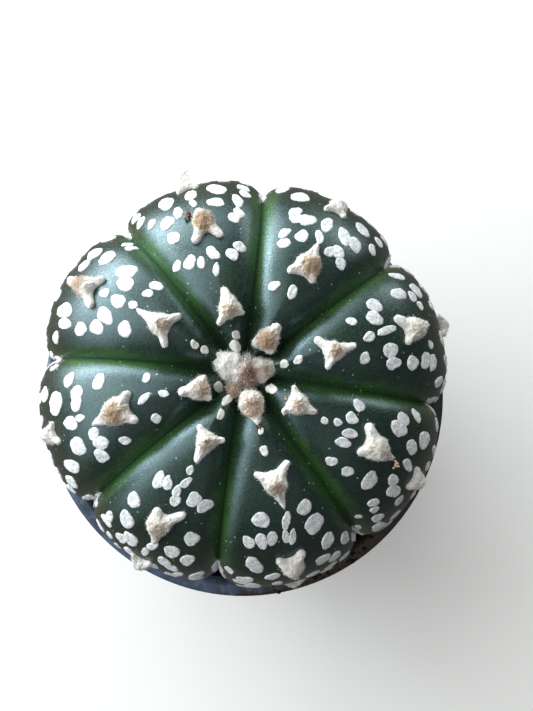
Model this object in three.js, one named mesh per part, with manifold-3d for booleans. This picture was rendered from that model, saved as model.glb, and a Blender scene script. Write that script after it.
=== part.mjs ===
import * as THREE from 'three';
import { mergeVertices } from 'three/addons/utils/BufferGeometryUtils.js';
import Module from 'manifold-3d';

const wasm = await Module();
wasm.setup();

// Pot, in millimetres
const POT_HEIGHT = 52;
const POT_RIM_RADIUS = 30;
const POT_BASE_RADIUS = 21;
const POT_WALL = 1.2;
const POT_FLOOR = 2;
const POT_SIDES = 54;
const BAND_HEIGHT = 8;
const BAND_STEP = 0.7;
const LIP_WIDTH = 1.7;
const LIP_HEIGHT = 1.7;
const LIP_OVERHANG = 0.7;
const EDGE = 0.4;
const DRAIN_HOLES = 6;
const DRAIN_RADIUS = 2.6;
const DRAIN_RING = 13.5;
const DRAIN_SIDES = 14;

// Soil
const SOIL_LEVEL = 49;
const SOIL_GAP = 0.3;
const SOIL_EDGE_DROP = 1;
const SOIL_SIDES = 44;
const SOIL_RINGS = 5;
const CRUMB = 0.55;
const CRUMB_RISE = 2;
const CRUMB_DRIFT = 0.8;
const CRUMB_DRIFT_ROWS = 50;
const CRUMB_CLEARANCE = 0.3;
const FACET_CLEARANCE = 0.1;
const DISH_LATITUDES = [-54, -62, -70, -76];

// Ribbed body of the cactus
const WAIST_LEVEL = 64;
const BODY_X = -0.2;
const BODY_Y = 0.9;
const BODY_RADIUS = 28.3;
const DOME_HEIGHT = 16.2;
const DOME_SQUARENESS = 2.2;
const BELLY_DEPTH = 20;
const BELLY_SQUARENESS = 2.05;
const DIMPLE_DEPTH = 3;
const DIMPLE_RADIUS = 6.5;
const GROOVE_DEPTH = 2.1;
const SHOULDER = 1.55;
const RIB_ARCH = 0.35;
const CROWN_ARCH = 0.35;
const CROWN_ARCH_RADIUS = 8;
const RIBS = 8;
const HALF_RIB = Math.PI / RIBS;
const GROOVE_SETTLES = 34;
const LATITUDE_STEP = 7.5;
const RIDGE_STEP = 0.25;
const FRAME_REACH = 0.6;
const SAME_PLANE = 0.004;

// Degrees of the groove that ends each rib, counter-clockwise, at the crown and at the waist
const GROOVES_AT_CROWN = [36.5, 82, 126.5, 172, 217.8, 260.5, 306.5, 351.3];
const GROOVES_AT_WAIST = [38.3, 84.2, 129.2, 174.6, 219.4, 262.6, 306.2, 352.2];

// Where the skin is sampled across a rib, from one groove to the next
const ACROSS_RIB = [-1, -0.9, -0.62, 0, 0.62, 0.9];

// Root neck, as radius and depth under the waist
const ROOT = [[0, 12], [6, 16], [5, 19.5], [3.6, 21.5], [2.2, 27], [1.1, 33], [0, 36]];
const ROOT_SIDES = 10;

// Areoles, youngest first: each stands three ribs on from the last, in a 3/8 spiral.
// Their distance from the crown down the rib was read off the plant, and the older ones follow evenly.
const AREOLE_DISTANCES = [
  2, 2.5, 2.4, 4.2, 5.1, 6, 8.2, 8.8, 10.6, 12.2, 12.6, 14.8,
  16.4, 17, 19.9, 20.2, 22.4, 23.8, 24.4, 27.2, 28.2, 28.9, 29.7, 30.6,
];
const AREOLES = 32;
const OLDER_AREOLE_STEP = 2;
const YOUNGEST_RIB = 5;
const RIBS_PER_AREOLE = 3;
const GROWN_AT = 9;
const YOUNGEST_SIZE = 0.62;
const WEATHERED_FROM = 20;
const WEATHERED_SIZE = 0.8;
const AREOLE_WAVER = 0.3;
const AREOLE_OFFSET = 0.09;
const AREOLE_SINK = 4;

// Wool of each areole, across and down the rib from its middle, as read off the plant:
// tip and half width of the left ear, the right ear and the tail, then middle and half width of the core.
// The last line serves for the older areoles.
const TUFTS = [
  [[-0.7, -0.6, 0.3], [0.7, -0.7, 0.3], [0.2, 1.3, 0.4], [0, 0, 0.85]],
  [[-1.9, -0.9, 0.5], [1.4, -1.1, 0.5], [-0.3, 3, 0.3], [-0.3, -0.4, 1.5]],
  [[-1.9, -1.1, 0.5], [1.9, -1.2, 0.5], [-0.1, 3.1, 0.4], [0, -0.5, 1.6]],
  [[-0.6, -1.9, 0.5], [0.9, -1.5, 0.5], [0.3, 3.4, 0.4], [0.1, -0.2, 1.6]],
  [[-1.9, -1.2, 0.5], [0.9, -1.4, 0.5], [-0.7, 2.6, 0.75], [-0.5, 0, 1.4]],
  [[-1.2, -1.1, 0.45], [2.1, -1.1, 0.45], [0.1, 2.7, 0.6], [0.4, 0, 1.25]],
  [[-1.8, -1.2, 0.4], [2, -1.7, 0.35], [0.4, 2.6, 0.4], [0.1, 0, 1.2]],
  [[-2, -1.5, 0.4], [1.6, -2.1, 0.4], [-0.3, 2.5, 0.55], [-0.4, -0.3, 1.25]],
  [[-1.6, -1.9, 0.4], [2.3, -1.8, 0.4], [0.5, 2.5, 0.5], [0.35, -0.5, 1.15]],
  [[-2.3, -1.6, 0.4], [2, -2.2, 0.5], [-0.1, 2.8, 0.45], [-0.25, -0.3, 1.15]],
  [[-2.5, -2.1, 0.4], [2.2, -2.4, 0.4], [-0.4, 3.5, 0.25], [-0.15, -0.25, 1.3]],
  [[-1.8, -1.9, 0.4], [2.8, -2.4, 0.4], [0.9, 3.6, 0.2], [0.45, -0.1, 1.45]],
  [[-2.1, -1.8, 0.45], [1.6, -2.2, 0.5], [0.1, 3.6, 0.3], [-0.35, 0, 1.6]],
  [[-1.7, -2.3, 0.5], [2.3, -2.3, 0.5], [0.95, 3.9, 0.25], [0.25, 0.2, 1.75]],
  [[-1.35, -1.9, 0.6], [2.6, -2.7, 0.6], [0.5, 3.1, 0.4], [0.5, 0.1, 1.6]],
  [[-2.2, -2.1, 0.5], [1.6, -2, 0.6], [0, 3.15, 0.6], [-0.35, 0.9, 1.45]],
  [[-1.1, -1.6, 0.6], [2.6, -2.9, 0.5], [0.8, 3.5, 0.4], [0.1, 0.5, 1.45]],
  [[-1.6, -1.4, 0.55], [2.2, -2.2, 0.6], [0.5, 3.4, 0.5], [0.2, 0.5, 1.5]],
  [[-2.4, -1.7, 0.55], [1.9, -2.2, 0.6], [-0.2, 4.4, 0.7], [-0.25, 0.5, 1.4]],
  [[-1.8, -1.5, 0.5], [1.9, -2, 0.55], [0.2, 3.2, 0.45], [0.1, 0.4, 1.4]],
];
const WOOL_THICKNESS = 0.95;
const CORE_SWELL = 0.75;
const CORE_FALL = 1.6;
const WOOL_SHOULDER = 0.75;
const WOOL_EDGE_HEIGHT = 0.3;
const TIP_BLUNTNESS = 0.4;
const TIP_BREADTH = 0.85;
const HOLLOW_REACH = 1.08;

// Wool at the crown, where the youngest areoles crowd together: a low mound, and frames that stand up
const CROWN_RADIUS = 2;
const CROWN_HEIGHT = 3;
const CROWN_FALL = 0.75;
const CROWN_SIDES = 12;
const CROWN_RINGS = [0.45, 0.8, 1];
const CROWN_SINK = 2;
const CROWN_SKIRT = 1.6;
const CROWN_WOOL_REACH = 6.5;
const CROWN_LEVELLING = 1.6;
const CROWN_LEVELLING_REACH = 3;
const CROWN_UPRIGHT = 0.6;

// Felt flecks of each rib: across the rib, down the rib from the crown, width and, if long, length
const FLECKS = [
  [[-0.2, 5.3, 0.9, 1.3], [-0.2, 7.3, 0.9, 1.4], [-2.1, 16, 1.4], [2.9, 15.8, 1.1, 1.4],
    [0.4, 17.2, 1.2, 1.8], [0.7, 20, 1, 3.2], [-1.9, 19.9, 2], [-3.6, 20.2, 1.6, 2.1],
    [2.6, 19, 1.9, 2.3], [4.3, 20, 1.9], [-4.1, 23.3, 1.8], [5.1, 24.6, 1.8, 2.4],
    [-4.2, 25.9, 2], [-4.7, 27.5, 2.3, 1.5], [-2.3, 27.3, 1.2, 1], [7.8, 27.2, 1.3, 2.5],
    [3, 27.6, 1.2], [4.4, 26.9, 1.5], [5.2, 28.8, 2.1], [-7.4, 29.8, 1.5, 2.2]],
  [[-0.3, 12.2, 1.2, 1.9], [2.1, 12, 1.3], [3.8, 18.3, 1.5], [-3.9, 19.8, 1.5],
    [-2.9, 20.9, 1.7], [-1.9, 20.1, 1.3, 1.8], [2.2, 20.2, 1.6, 2], [4.4, 19.9, 1.4, 1.7],
    [0.2, 21.3, 1.1, 2.2], [0.1, 23.9, 1.5, 2.9], [-4.3, 23.9, 2.1], [-2.6, 23.8, 1.7, 3],
    [2.6, 23.2, 2, 2.3], [4, 22.9, 1.7], [4.6, 24.1, 1.6, 1.9], [-6.8, 26.1, 1.4],
    [-4.3, 27.8, 2.2], [5.1, 28, 2.3, 2.9], [-7.2, 29.1, 1.6], [8, 30.2, 1.8, 2.4]],
  [[-0.3, 4.8, 0.9, 1.3], [-0.1, 13.8, 0.8, 1.9], [-2.7, 15.7, 1.5, 1.8], [-4, 16.9, 1.5],
    [-0.3, 16.2, 1.5, 2], [1.5, 15.4, 1.1, 1.6], [2.9, 16.2, 1.7], [4.7, 16.9, 1.3],
    [4, 20.7, 1.7, 2], [-4.5, 21.5, 1.6], [-5.4, 22.5, 1.5], [-2.8, 24.6, 2.2, 1.9],
    [-5.8, 24.9, 1.5, 2.5], [2.4, 24.4, 1.3, 2.3], [4.2, 23.6, 1.9, 2.3], [6.3, 25.3, 1.4],
    [0.1, 25.3, 0.9, 1.7], [0, 27.5, 1.6, 2.7], [-3.6, 27.9, 2.4, 3.1], [3.5, 27.8, 2.3, 3.1],
    [-7.3, 27, 1.6], [-7.4, 28.7, 1.7], [7.7, 27.6, 1.6], [8.2, 29.9, 1.5, 2.3]],
  [[0, 5.7, 0.9, 1.2], [0.1, 7.2, 0.9, 1.2], [-4.3, 16.4, 1.4, 1.7], [-2.8, 16.3, 1.2],
    [2.6, 16.5, 2.1, 1.8], [-0.6, 16.9, 1, 1.4], [-0.2, 19.1, 1.6, 2.4], [-0.4, 21.6, 1.2, 1.6],
    [-4.2, 21, 2.3, 2.7], [-2.6, 19.7, 2, 2.3], [2.2, 19.9, 1.8, 2.8], [4, 20.6, 1.9],
    [5.1, 23.1, 1.7, 2.1], [-7.9, 24.5, 1.5, 1.2], [-8.3, 25.9, 1.4, 1.1], [-5, 25.5, 2.3],
    [3.7, 27.3, 2.1, 3.4], [5.3, 26.4, 1.5, 2.7], [-5, 28.8, 2.3], [-2.9, 28.6, 1.9],
    [7.5, 28.2, 1.8, 1.4], [-8.1, 30.4, 1.7, 2.4]],
  [[0, 10.6, 0.9, 1.3], [-0.1, 13.2, 0.9, 2], [-2.6, 12.6, 1.3, 1], [2.7, 12.8, 1.2],
    [-4.1, 19.2, 2, 1.8], [4.2, 17.9, 1.1, 1.5], [2.1, 21.3, 1.5, 1.8], [3.5, 21, 1.8, 2.3],
    [5.1, 22, 1.8, 2.1], [-3.7, 22.6, 1.7, 2.2], [-2.3, 22.8, 1.8], [-5.8, 24.1, 1.8],
    [-0.4, 22.6, 1, 1.4], [-0.2, 24.4, 1.6, 2.6], [2.9, 24.6, 2.4, 2.6], [-3.5, 26.8, 2.8, 3.1],
    [5, 27.7, 2, 2.9], [-5.4, 29.8, 1.9, 2.5], [6.9, 30.2, 1.9, 2.3], [-8.8, 28.6, 0.9, 2]],
  [[0, 3.9, 0.9, 1.8], [0.3, 6.1, 0.9, 1.5], [0.5, 14.3, 0.9, 1.3], [0.8, 16, 1, 1.8],
    [0.3, 17.6, 1.1, 1.8], [0.7, 18.8, 1.4], [-2.5, 17.7, 1.6, 2.3], [-1.3, 17.3, 1.3, 1.9],
    [2.8, 17.7, 1.8, 2.1], [4.5, 18.2, 1.8], [-4.3, 22.3, 1.9, 2.2], [5, 23.3, 1.8, 2.4],
    [-4, 25.5, 2.2, 2.6], [3.4, 26.4, 2.3, 2.1], [0.7, 26.9, 1.2, 2.1], [5.8, 27.2, 1.9, 2.2],
    [-6.5, 27.6, 1.3, 1.8], [-6.7, 29, 2.1, 1.5], [-2.4, 28.3, 2.3], [-3.7, 29.6, 1.9],
    [0.1, 29, 1.1, 1.9], [3, 29.2, 1.9], [4.3, 30.2, 1.9, 1.6], [8, 31.5, 1.7, 2.7]],
  [[0.4, 8, 0.7, 0.9], [0.2, 10.5, 1, 1.3], [-2.3, 19.4, 2.1], [3.5, 19.4, 1.9],
    [0.8, 20.2, 1.1, 2.5], [0.3, 22.5, 1, 2], [1.1, 22.8, 1, 2.2], [-2.9, 22.5, 1.6, 2.3],
    [-1.5, 22.3, 1.4, 2.1], [-4.6, 22.6, 1.5, 1.9], [4.3, 22.3, 2.6], [-4.7, 26.6, 2.2, 2.9],
    [5.6, 26, 1.8, 2.7], [8.3, 28.3, 1.5, 2.4], [-8.5, 28.8, 1.3], [-6.6, 30.3, 2.4, 1.8],
    [-2.7, 29.4, 2.2, 1.3], [4.4, 29, 2.4, 1.7], [6.2, 30.1, 1.8]],
  [[0.1, 4, 1.2, 1.5], [0, 12.2, 0.8, 1.1], [0.7, 13.8, 0.9, 1.2], [-1.1, 15.8, 1.2, 2.1],
    [0.3, 15.9, 1.1, 2.2], [2.1, 15.3, 1.5], [4.1, 15.9, 1.5], [-3.9, 16.4, 1.3],
    [-3.9, 18.9, 1.3, 1.6], [-3.4, 22.2, 2.8, 1.9], [4.3, 22.3, 2, 2.6], [5.8, 22.8, 1.6, 2],
    [1, 26.3, 1.2, 2.4], [-1.7, 25.4, 1.5, 2], [-2.8, 26.8, 1.9, 2.4], [3.2, 25.5, 1.8, 2.2],
    [-5.5, 25.4, 1.4], [-6.2, 26.6, 1.3, 1.1], [7.3, 25.3, 1.3, 1.8], [5, 27.6, 2.3],
    [-8.3, 26.4, 0.8], [-6.9, 28.7, 1.6, 2], [-3.4, 29.3, 1.7, 1.4], [-7.7, 30.8, 1.6]],
];
const FLECK_LIFT = 0.26;
const FLECK_SINK = 3;
const FLECK_FIVE_SIDED = 1.45;
const FLECK_STRETCH = 1.08;
const FLECK_CORNER = 1.02;
const FLECK_UNEVEN = 0.2;
const FLECK_TURN = 0.9;
const FLECK_KEYS_PER_RIB = 40;

// Flecks on the belly, below the waist: their rows down each rib, and the spans they are drawn from
const BELLY_FLECK_ROWS = 3;
const BELLY_FLECKS_FROM = 33;
const BELLY_FLECK_STEP = 3.2;
const BELLY_ROW_DRIFT = 0.6;
const BELLY_MARGIN = 2;
const BELLY_ACROSS = [0.35, 0.95];
const BELLY_FLECK_WIDTH = 1.7;
const BELLY_SIZES = [0.7, 1.3];
const BELLY_FLECK_STRETCH = 1.2;
const BELLY_KEYS_FROM = 400;
const BELLY_KEYS_PER_RIB = 20;

const SKIN_LOOK = { color: 0x2b4a3a, roughness: 0.45 };
const POT_LOOK = { color: 0x3b4557, roughness: 0.5 };
const SOIL_LOOK = { color: 0x3a2a20, roughness: 0.95 };

// A repeatable random number between 0 and 1 for each pair of whole numbers
function scatter(a, b) {
  const wave = Math.sin(a * 127.1 + b * 311.7 + 7.3) * 43758.5453;
  return wave - Math.floor(wave);
}

// Solids for cutting and joining
function solidOf(geometry) {
  const bare = geometry.clone();
  bare.deleteAttribute('normal');
  bare.deleteAttribute('uv');
  const merged = mergeVertices(bare, 1e-4);
  const vertProperties = new Float32Array(merged.attributes.position.array);
  const triVerts = new Uint32Array(merged.index.array);
  return new wasm.Manifold(new wasm.Mesh({ numProp: 3, vertProperties, triVerts }));
}

function geometryOf(solid) {
  const mesh = solid.getMesh();
  const geometry = new THREE.BufferGeometry();
  geometry.setAttribute('position', new THREE.BufferAttribute(mesh.vertProperties, 3));
  geometry.setIndex(new THREE.BufferAttribute(mesh.triVerts, 1));
  geometry.computeVertexNormals();
  return geometry;
}

function joined(solids) {
  let row = solids;
  while (row.length > 1) {
    const next = [];
    for (let i = 0; i < row.length; i += 2) {
      next.push(i + 1 < row.length ? row[i].add(row[i + 1]) : row[i]);
    }
    row = next;
  }
  return row[0];
}

// A closed skin over rings of points, each ring with the same count, with a point at either end
function ringedGeometry(first, rings, last) {
  const points = [first, ...rings.flat(), last];
  const count = rings[0].length;
  const index = [];
  const at = (ring, i) => 1 + ring * count + (i % count);
  const end = points.length - 1;
  for (let i = 0; i < count; i++) {
    index.push(0, at(0, i), at(0, i + 1));
    index.push(end, at(rings.length - 1, i + 1), at(rings.length - 1, i));
    for (let ring = 0; ring + 1 < rings.length; ring++) {
      index.push(at(ring, i), at(ring + 1, i), at(ring + 1, i + 1));
      index.push(at(ring, i), at(ring + 1, i + 1), at(ring, i + 1));
    }
  }
  const geometry = new THREE.BufferGeometry();
  geometry.setFromPoints(points);
  geometry.setIndex(index);
  geometry.computeVertexNormals();
  return geometry;
}

// A turned piece about the pot's axis, from a profile of radius and height
function turned(profile, sides) {
  const points = profile.map(([radius, height]) => new THREE.Vector2(radius, height));
  return new THREE.LatheGeometry(points, sides).rotateX(Math.PI / 2);
}

// Ridge line of a rib, from the crown over the waist to the root
function ridgeAtLatitude(degrees) {
  const latitude = THREE.MathUtils.degToRad(degrees);
  const up = degrees >= 0;
  const squareness = 2 / (up ? DOME_SQUARENESS : BELLY_SQUARENESS);
  const rise = up ? DOME_HEIGHT : -BELLY_DEPTH;
  const radius = BODY_RADIUS * Math.max(Math.cos(latitude), 0) ** squareness;
  const dimple = up ? DIMPLE_DEPTH * Math.exp(-((radius / DIMPLE_RADIUS) ** 2)) : 0;
  const height = rise * Math.abs(Math.sin(latitude)) ** squareness - dimple;
  return { radius, height };
}

function ridgeTable() {
  const table = [{ along: 0, ...ridgeAtLatitude(90) }];
  for (let step = 1; step * RIDGE_STEP <= 180; step++) {
    const before = table[table.length - 1];
    const here = ridgeAtLatitude(90 - step * RIDGE_STEP);
    const stride = Math.hypot(here.radius - before.radius, here.height - before.height);
    table.push({ along: before.along + stride, ...here });
  }
  return table;
}

const RIDGE = ridgeTable();
const RIDGE_LENGTH = RIDGE[RIDGE.length - 1].along;

function ridgeAt(along) {
  const limited = THREE.MathUtils.clamp(along, 0, RIDGE_LENGTH);
  const next = Math.max(1, RIDGE.findIndex((entry) => entry.along >= limited));
  const [a, b] = [RIDGE[next - 1], RIDGE[next]];
  const share = (limited - a.along) / (b.along - a.along);
  const radius = THREE.MathUtils.lerp(a.radius, b.radius, share);
  const height = THREE.MathUtils.lerp(a.height, b.height, share);
  const run = b.radius - a.radius;
  const fall = b.height - a.height;
  const length = Math.hypot(run, fall);
  return { radius, height, outward: -fall / length, upward: run / length };
}

// How far the skin lies below the ridge line, for a place between the grooves at -1 and 1.
// The ribs are rounded most a little way out from the crown.
function inset(side, radius) {
  const fromGroove = (1 - Math.abs(side)) * radius * HALF_RIB;
  const fromCrown = (radius / CROWN_ARCH_RADIUS) ** 2;
  const arch = RIB_ARCH + CROWN_ARCH * fromCrown * Math.exp(1 - fromCrown);
  return GROOVE_DEPTH * Math.exp(-fromGroove / SHOULDER) + arch * side ** 2;
}

function grooveAngle(rib, along) {
  const settled = Math.min(along / GROOVE_SETTLES, 1);
  const index = (rib + RIBS) % RIBS;
  const turn = rib < 0 ? -360 : 0;
  return THREE.MathUtils.lerp(GROOVES_AT_CROWN[index], GROOVES_AT_WAIST[index], settled) + turn;
}

function skinPoint(rib, side, along) {
  const ridge = ridgeAt(along);
  const depth = inset(side, ridge.radius);
  const left = grooveAngle(rib - 1, along);
  const right = grooveAngle(rib, along);
  const angle = THREE.MathUtils.degToRad((left + right) / 2 + (side * (right - left)) / 2);
  const radius = Math.max(ridge.radius - ridge.outward * depth, 0);
  const height = ridge.height - ridge.upward * depth;
  return new THREE.Vector3(
    BODY_X + radius * Math.cos(angle),
    BODY_Y + radius * Math.sin(angle),
    WAIST_LEVEL + height,
  );
}

// The body's whole skin
function bodyGeometry() {
  const rings = [];
  for (let degrees = 90 - LATITUDE_STEP; degrees > -90; degrees -= LATITUDE_STEP) {
    const { along } = RIDGE[Math.round((90 - degrees) / RIDGE_STEP)];
    const ring = [];
    for (let rib = 0; rib < RIBS; rib++) {
      ACROSS_RIB.forEach((side) => ring.push(skinPoint(rib, side, along)));
    }
    rings.push(ring);
  }
  const crown = skinPoint(0, 1, 0);
  const navel = skinPoint(0, 1, RIDGE_LENGTH);
  return ringedGeometry(crown, rings, navel);
}

// A local frame on the skin: across, down the rib, and out of the skin
function skinFrame(rib, across, along) {
  const halfWidth = Math.max(ridgeAt(along).radius, 0.5) * HALF_RIB;
  const side = across / halfWidth;
  const sideReach = FRAME_REACH / halfWidth;
  const origin = skinPoint(rib, side, along);
  const right = skinPoint(rib, side + sideReach, along);
  const left = skinPoint(rib, side - sideReach, along);
  const lower = skinPoint(rib, side, along + FRAME_REACH);
  const upper = skinPoint(rib, side, along - FRAME_REACH);
  const sideways = right.sub(left).normalize();
  const out = lower.sub(upper).cross(sideways).normalize();
  const down = new THREE.Vector3().crossVectors(sideways, out);
  return { origin, sideways, down, out };
}

function onFrame(frame, sideways, down, out) {
  return frame.origin
    .clone()
    .addScaledVector(frame.sideways, sideways)
    .addScaledVector(frame.down, down)
    .addScaledVector(frame.out, out);
}

// The same frame stood up and leant outwards near the crown, where the wool is pushed out of the middle
function levelledFrame(frame, along) {
  const pull = CROWN_LEVELLING * Math.exp(-along / CROWN_LEVELLING_REACH);
  const lean = new THREE.Vector3(frame.down.x, frame.down.y, CROWN_UPRIGHT);
  const out = frame.out.clone().addScaledVector(lean, pull).normalize();
  const down = new THREE.Vector3().crossVectors(frame.sideways, out);
  return { origin: frame.origin, sideways: frame.sideways, down, out };
}

// Outline of a tuft about its core: two corners at the tip of each lobe, and a hollow before the next
function tuftOutline([leftEar, rightEar, tail, [coreX, coreY, coreWidth]]) {
  const lobes = [tail, rightEar, leftEar].map(([x, y, width]) => {
    const full = new THREE.Vector2(x - coreX, y - coreY);
    return { way: full.clone().normalize(), length: full.length(), width };
  });
  const corners = [];
  lobes.forEach(({ way, length, width }, i) => {
    const tip = way.clone().multiplyScalar(length - TIP_BLUNTNESS * width);
    const aside = new THREE.Vector2(way.y, -way.x).multiplyScalar(TIP_BREADTH * width);
    const next = lobes[(i + 1) % lobes.length].way;
    const hollow = way.clone().add(next).setLength(HOLLOW_REACH * coreWidth);
    corners.push(tip.clone().sub(aside), tip.clone().add(aside), hollow);
  });
  return corners;
}

// Woolly areole: a thick shield with two ears towards the crown and a tail, swollen over its core
function areoleSolid(number) {
  const rib = (YOUNGEST_RIB + number * RIBS_PER_AREOLE) % RIBS;
  const read = AREOLE_DISTANCES.length;
  const older = AREOLE_DISTANCES[read - 1] + (number - read + 1) * OLDER_AREOLE_STEP;
  const along = number < read ? AREOLE_DISTANCES[number] : older;
  const grown = Math.min(1, THREE.MathUtils.lerp(YOUNGEST_SIZE, 1, along / GROWN_AT));
  const size = grown * (number < WEATHERED_FROM ? 1 : WEATHERED_SIZE);
  const tuft = TUFTS[Math.min(number, TUFTS.length - 1)];
  const [coreX, coreY, coreWidth] = tuft[tuft.length - 1];
  const across = AREOLE_WAVER * scatter(number, 1) - AREOLE_OFFSET;
  const frame = levelledFrame(skinFrame(rib, across, along), along);
  const woolHeight = (away) => size * (WOOL_THICKNESS + CORE_SWELL * Math.exp(-CORE_FALL * away ** 2));
  const outline = tuftOutline(tuft);
  const ringAt = (share, heightAt) => outline.map((corner) => {
    const height = heightAt((share * corner.length()) / coreWidth);
    return onFrame(frame, coreX + share * corner.x, coreY + share * corner.y, height);
  });
  const shoulder = ringAt(WOOL_SHOULDER, woolHeight);
  const edge = ringAt(1, () => WOOL_EDGE_HEIGHT * size);
  const skirt = along < CROWN_WOOL_REACH ? [ringAt(1, () => -CROWN_SKIRT)] : [];
  const peak = onFrame(frame, coreX, coreY, woolHeight(0));
  const root = onFrame(frame, coreX, coreY, -AREOLE_SINK);
  return solidOf(ringedGeometry(peak, [shoulder, edge, ...skirt], root));
}

// The crown's own wool: a low round mound that fills the dimple
function crownWool() {
  const crown = skinPoint(0, 0, 0);
  const raised = (x, y, height) => new THREE.Vector3(x, y, height).add(crown);
  const ringAt = (share, height) => Array.from({ length: CROWN_SIDES }, (_, i) => {
    const angle = (i / CROWN_SIDES) * 2 * Math.PI;
    const reach = share * CROWN_RADIUS;
    return raised(reach * Math.cos(angle), reach * Math.sin(angle), height);
  });
  const rings = CROWN_RINGS.map((share) => ringAt(share, CROWN_HEIGHT * (1 - CROWN_FALL * share ** 2)));
  rings.push(ringAt(1, -CROWN_SKIRT));
  return solidOf(ringedGeometry(raised(0, 0, CROWN_HEIGHT), rings, raised(0, 0, -CROWN_SINK)));
}

// Felt fleck: a low pad with four or five uneven corners
function fleckSolid(rib, place, along, width, length, key) {
  const frame = skinFrame(rib, place, along);
  const sides = width > FLECK_FIVE_SIDED ? 5 : 4;
  const turn = (scatter(key, 3) - 0.5) * FLECK_TURN;
  const ring = [];
  for (let i = 0; i < sides; i++) {
    const angle = ((i + 0.5) / sides) * 2 * Math.PI;
    const reach = 0.5 * (FLECK_CORNER + FLECK_UNEVEN * scatter(key, 10 + i));
    const x = reach * width * Math.sin(angle);
    const y = reach * length * Math.cos(angle);
    const across = x * Math.cos(turn) - y * Math.sin(turn);
    const down = x * Math.sin(turn) + y * Math.cos(turn);
    ring.push(onFrame(frame, across, down, FLECK_LIFT));
  }
  const top = onFrame(frame, 0, 0, FLECK_LIFT);
  const root = onFrame(frame, 0, 0, -FLECK_SINK);
  return solidOf(ringedGeometry(top, [ring], root));
}

function upperFlecks() {
  return FLECKS.flatMap((flecks, rib) => flecks.map((fleck, i) => {
    const [across, along, width, length = width * FLECK_STRETCH] = fleck;
    return fleckSolid(rib, across, along, width, length, rib * FLECK_KEYS_PER_RIB + i);
  }));
}

// Two flecks in each row of the belly, one on either side of the ridge
function bellyFleck(rib, row, hand) {
  const along = BELLY_FLECKS_FROM + BELLY_FLECK_STEP * (row + BELLY_ROW_DRIFT * scatter(rib, row));
  const halfWidth = ridgeAt(along).radius * HALF_RIB - BELLY_MARGIN;
  const key = BELLY_KEYS_FROM + rib * BELLY_KEYS_PER_RIB + row * 2 + (hand > 0 ? 1 : 0);
  const across = hand * halfWidth * THREE.MathUtils.lerp(...BELLY_ACROSS, scatter(key, 5));
  const width = BELLY_FLECK_WIDTH * THREE.MathUtils.lerp(...BELLY_SIZES, scatter(key, 6));
  return fleckSolid(rib, across, along, width, width * BELLY_FLECK_STRETCH, key);
}

function bellyFlecks() {
  const solids = [];
  for (let rib = 0; rib < RIBS; rib++) {
    for (let row = 0; row < BELLY_FLECK_ROWS; row++) {
      solids.push(bellyFleck(rib, row, -1), bellyFleck(rib, row, 1));
    }
  }
  return solids;
}

function rootSolid() {
  const profile = ROOT.map(([radius, depth]) => [radius, WAIST_LEVEL - depth]).reverse();
  return solidOf(turned(profile, ROOT_SIDES).translate(BODY_X, BODY_Y, 0));
}

function cactusGeometry() {
  const pieces = [solidOf(bodyGeometry()), rootSolid(), crownWool()];
  for (let number = 0; number < AREOLES; number++) {
    pieces.push(areoleSolid(number));
  }
  pieces.push(...upperFlecks(), ...bellyFlecks());
  return geometryOf(joined(pieces).simplify(SAME_PLANE));
}

// Pot wall, tapering to the base, with a band under a small lip
function potOuter() {
  const bandFoot = POT_HEIGHT - BAND_HEIGHT;
  const bandRadius = POT_RIM_RADIUS - LIP_OVERHANG;
  return [
    [0, 0],
    [POT_BASE_RADIUS - 2 * EDGE, 0],
    [POT_BASE_RADIUS, 2 * EDGE],
    [bandRadius - BAND_STEP - EDGE, bandFoot],
    [bandRadius - EDGE, bandFoot + BAND_STEP],
    [bandRadius, POT_HEIGHT - LIP_HEIGHT - EDGE],
    [POT_RIM_RADIUS, POT_HEIGHT - LIP_HEIGHT],
    [POT_RIM_RADIUS, POT_HEIGHT - EDGE],
    [POT_RIM_RADIUS - EDGE, POT_HEIGHT],
  ];
}

function potInner() {
  const bandFoot = POT_HEIGHT - BAND_HEIGHT;
  const mouth = POT_RIM_RADIUS - LIP_WIDTH;
  return [
    [mouth, POT_HEIGHT],
    [mouth - EDGE, POT_HEIGHT - EDGE],
    [mouth - BAND_STEP, bandFoot],
    [POT_BASE_RADIUS - POT_WALL, POT_FLOOR],
    [0, POT_FLOOR],
  ];
}

function potGeometry() {
  let pot = solidOf(turned([...potOuter(), ...potInner()], POT_SIDES));
  for (let i = 0; i < DRAIN_HOLES; i++) {
    const angle = (i / DRAIN_HOLES) * 2 * Math.PI;
    const drill = new THREE.CylinderGeometry(DRAIN_RADIUS, DRAIN_RADIUS, 3 * POT_FLOOR, DRAIN_SIDES);
    drill.rotateX(Math.PI / 2);
    drill.translate(DRAIN_RING * Math.cos(angle), DRAIN_RING * Math.sin(angle), POT_FLOOR / 2);
    pot = pot.subtract(solidOf(drill));
  }
  return geometryOf(pot);
}

// Radius of the pot's inside at a height
function potInsideAt(height) {
  const wall = potInner().slice(1, -1);
  const lower = Math.max(wall.findIndex(([, level]) => level <= height), 1);
  const [above, below] = [wall[lower - 1], wall[lower]];
  const share = (height - below[1]) / (above[1] - below[1]);
  return THREE.MathUtils.lerp(below[0], above[0], share);
}

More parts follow.
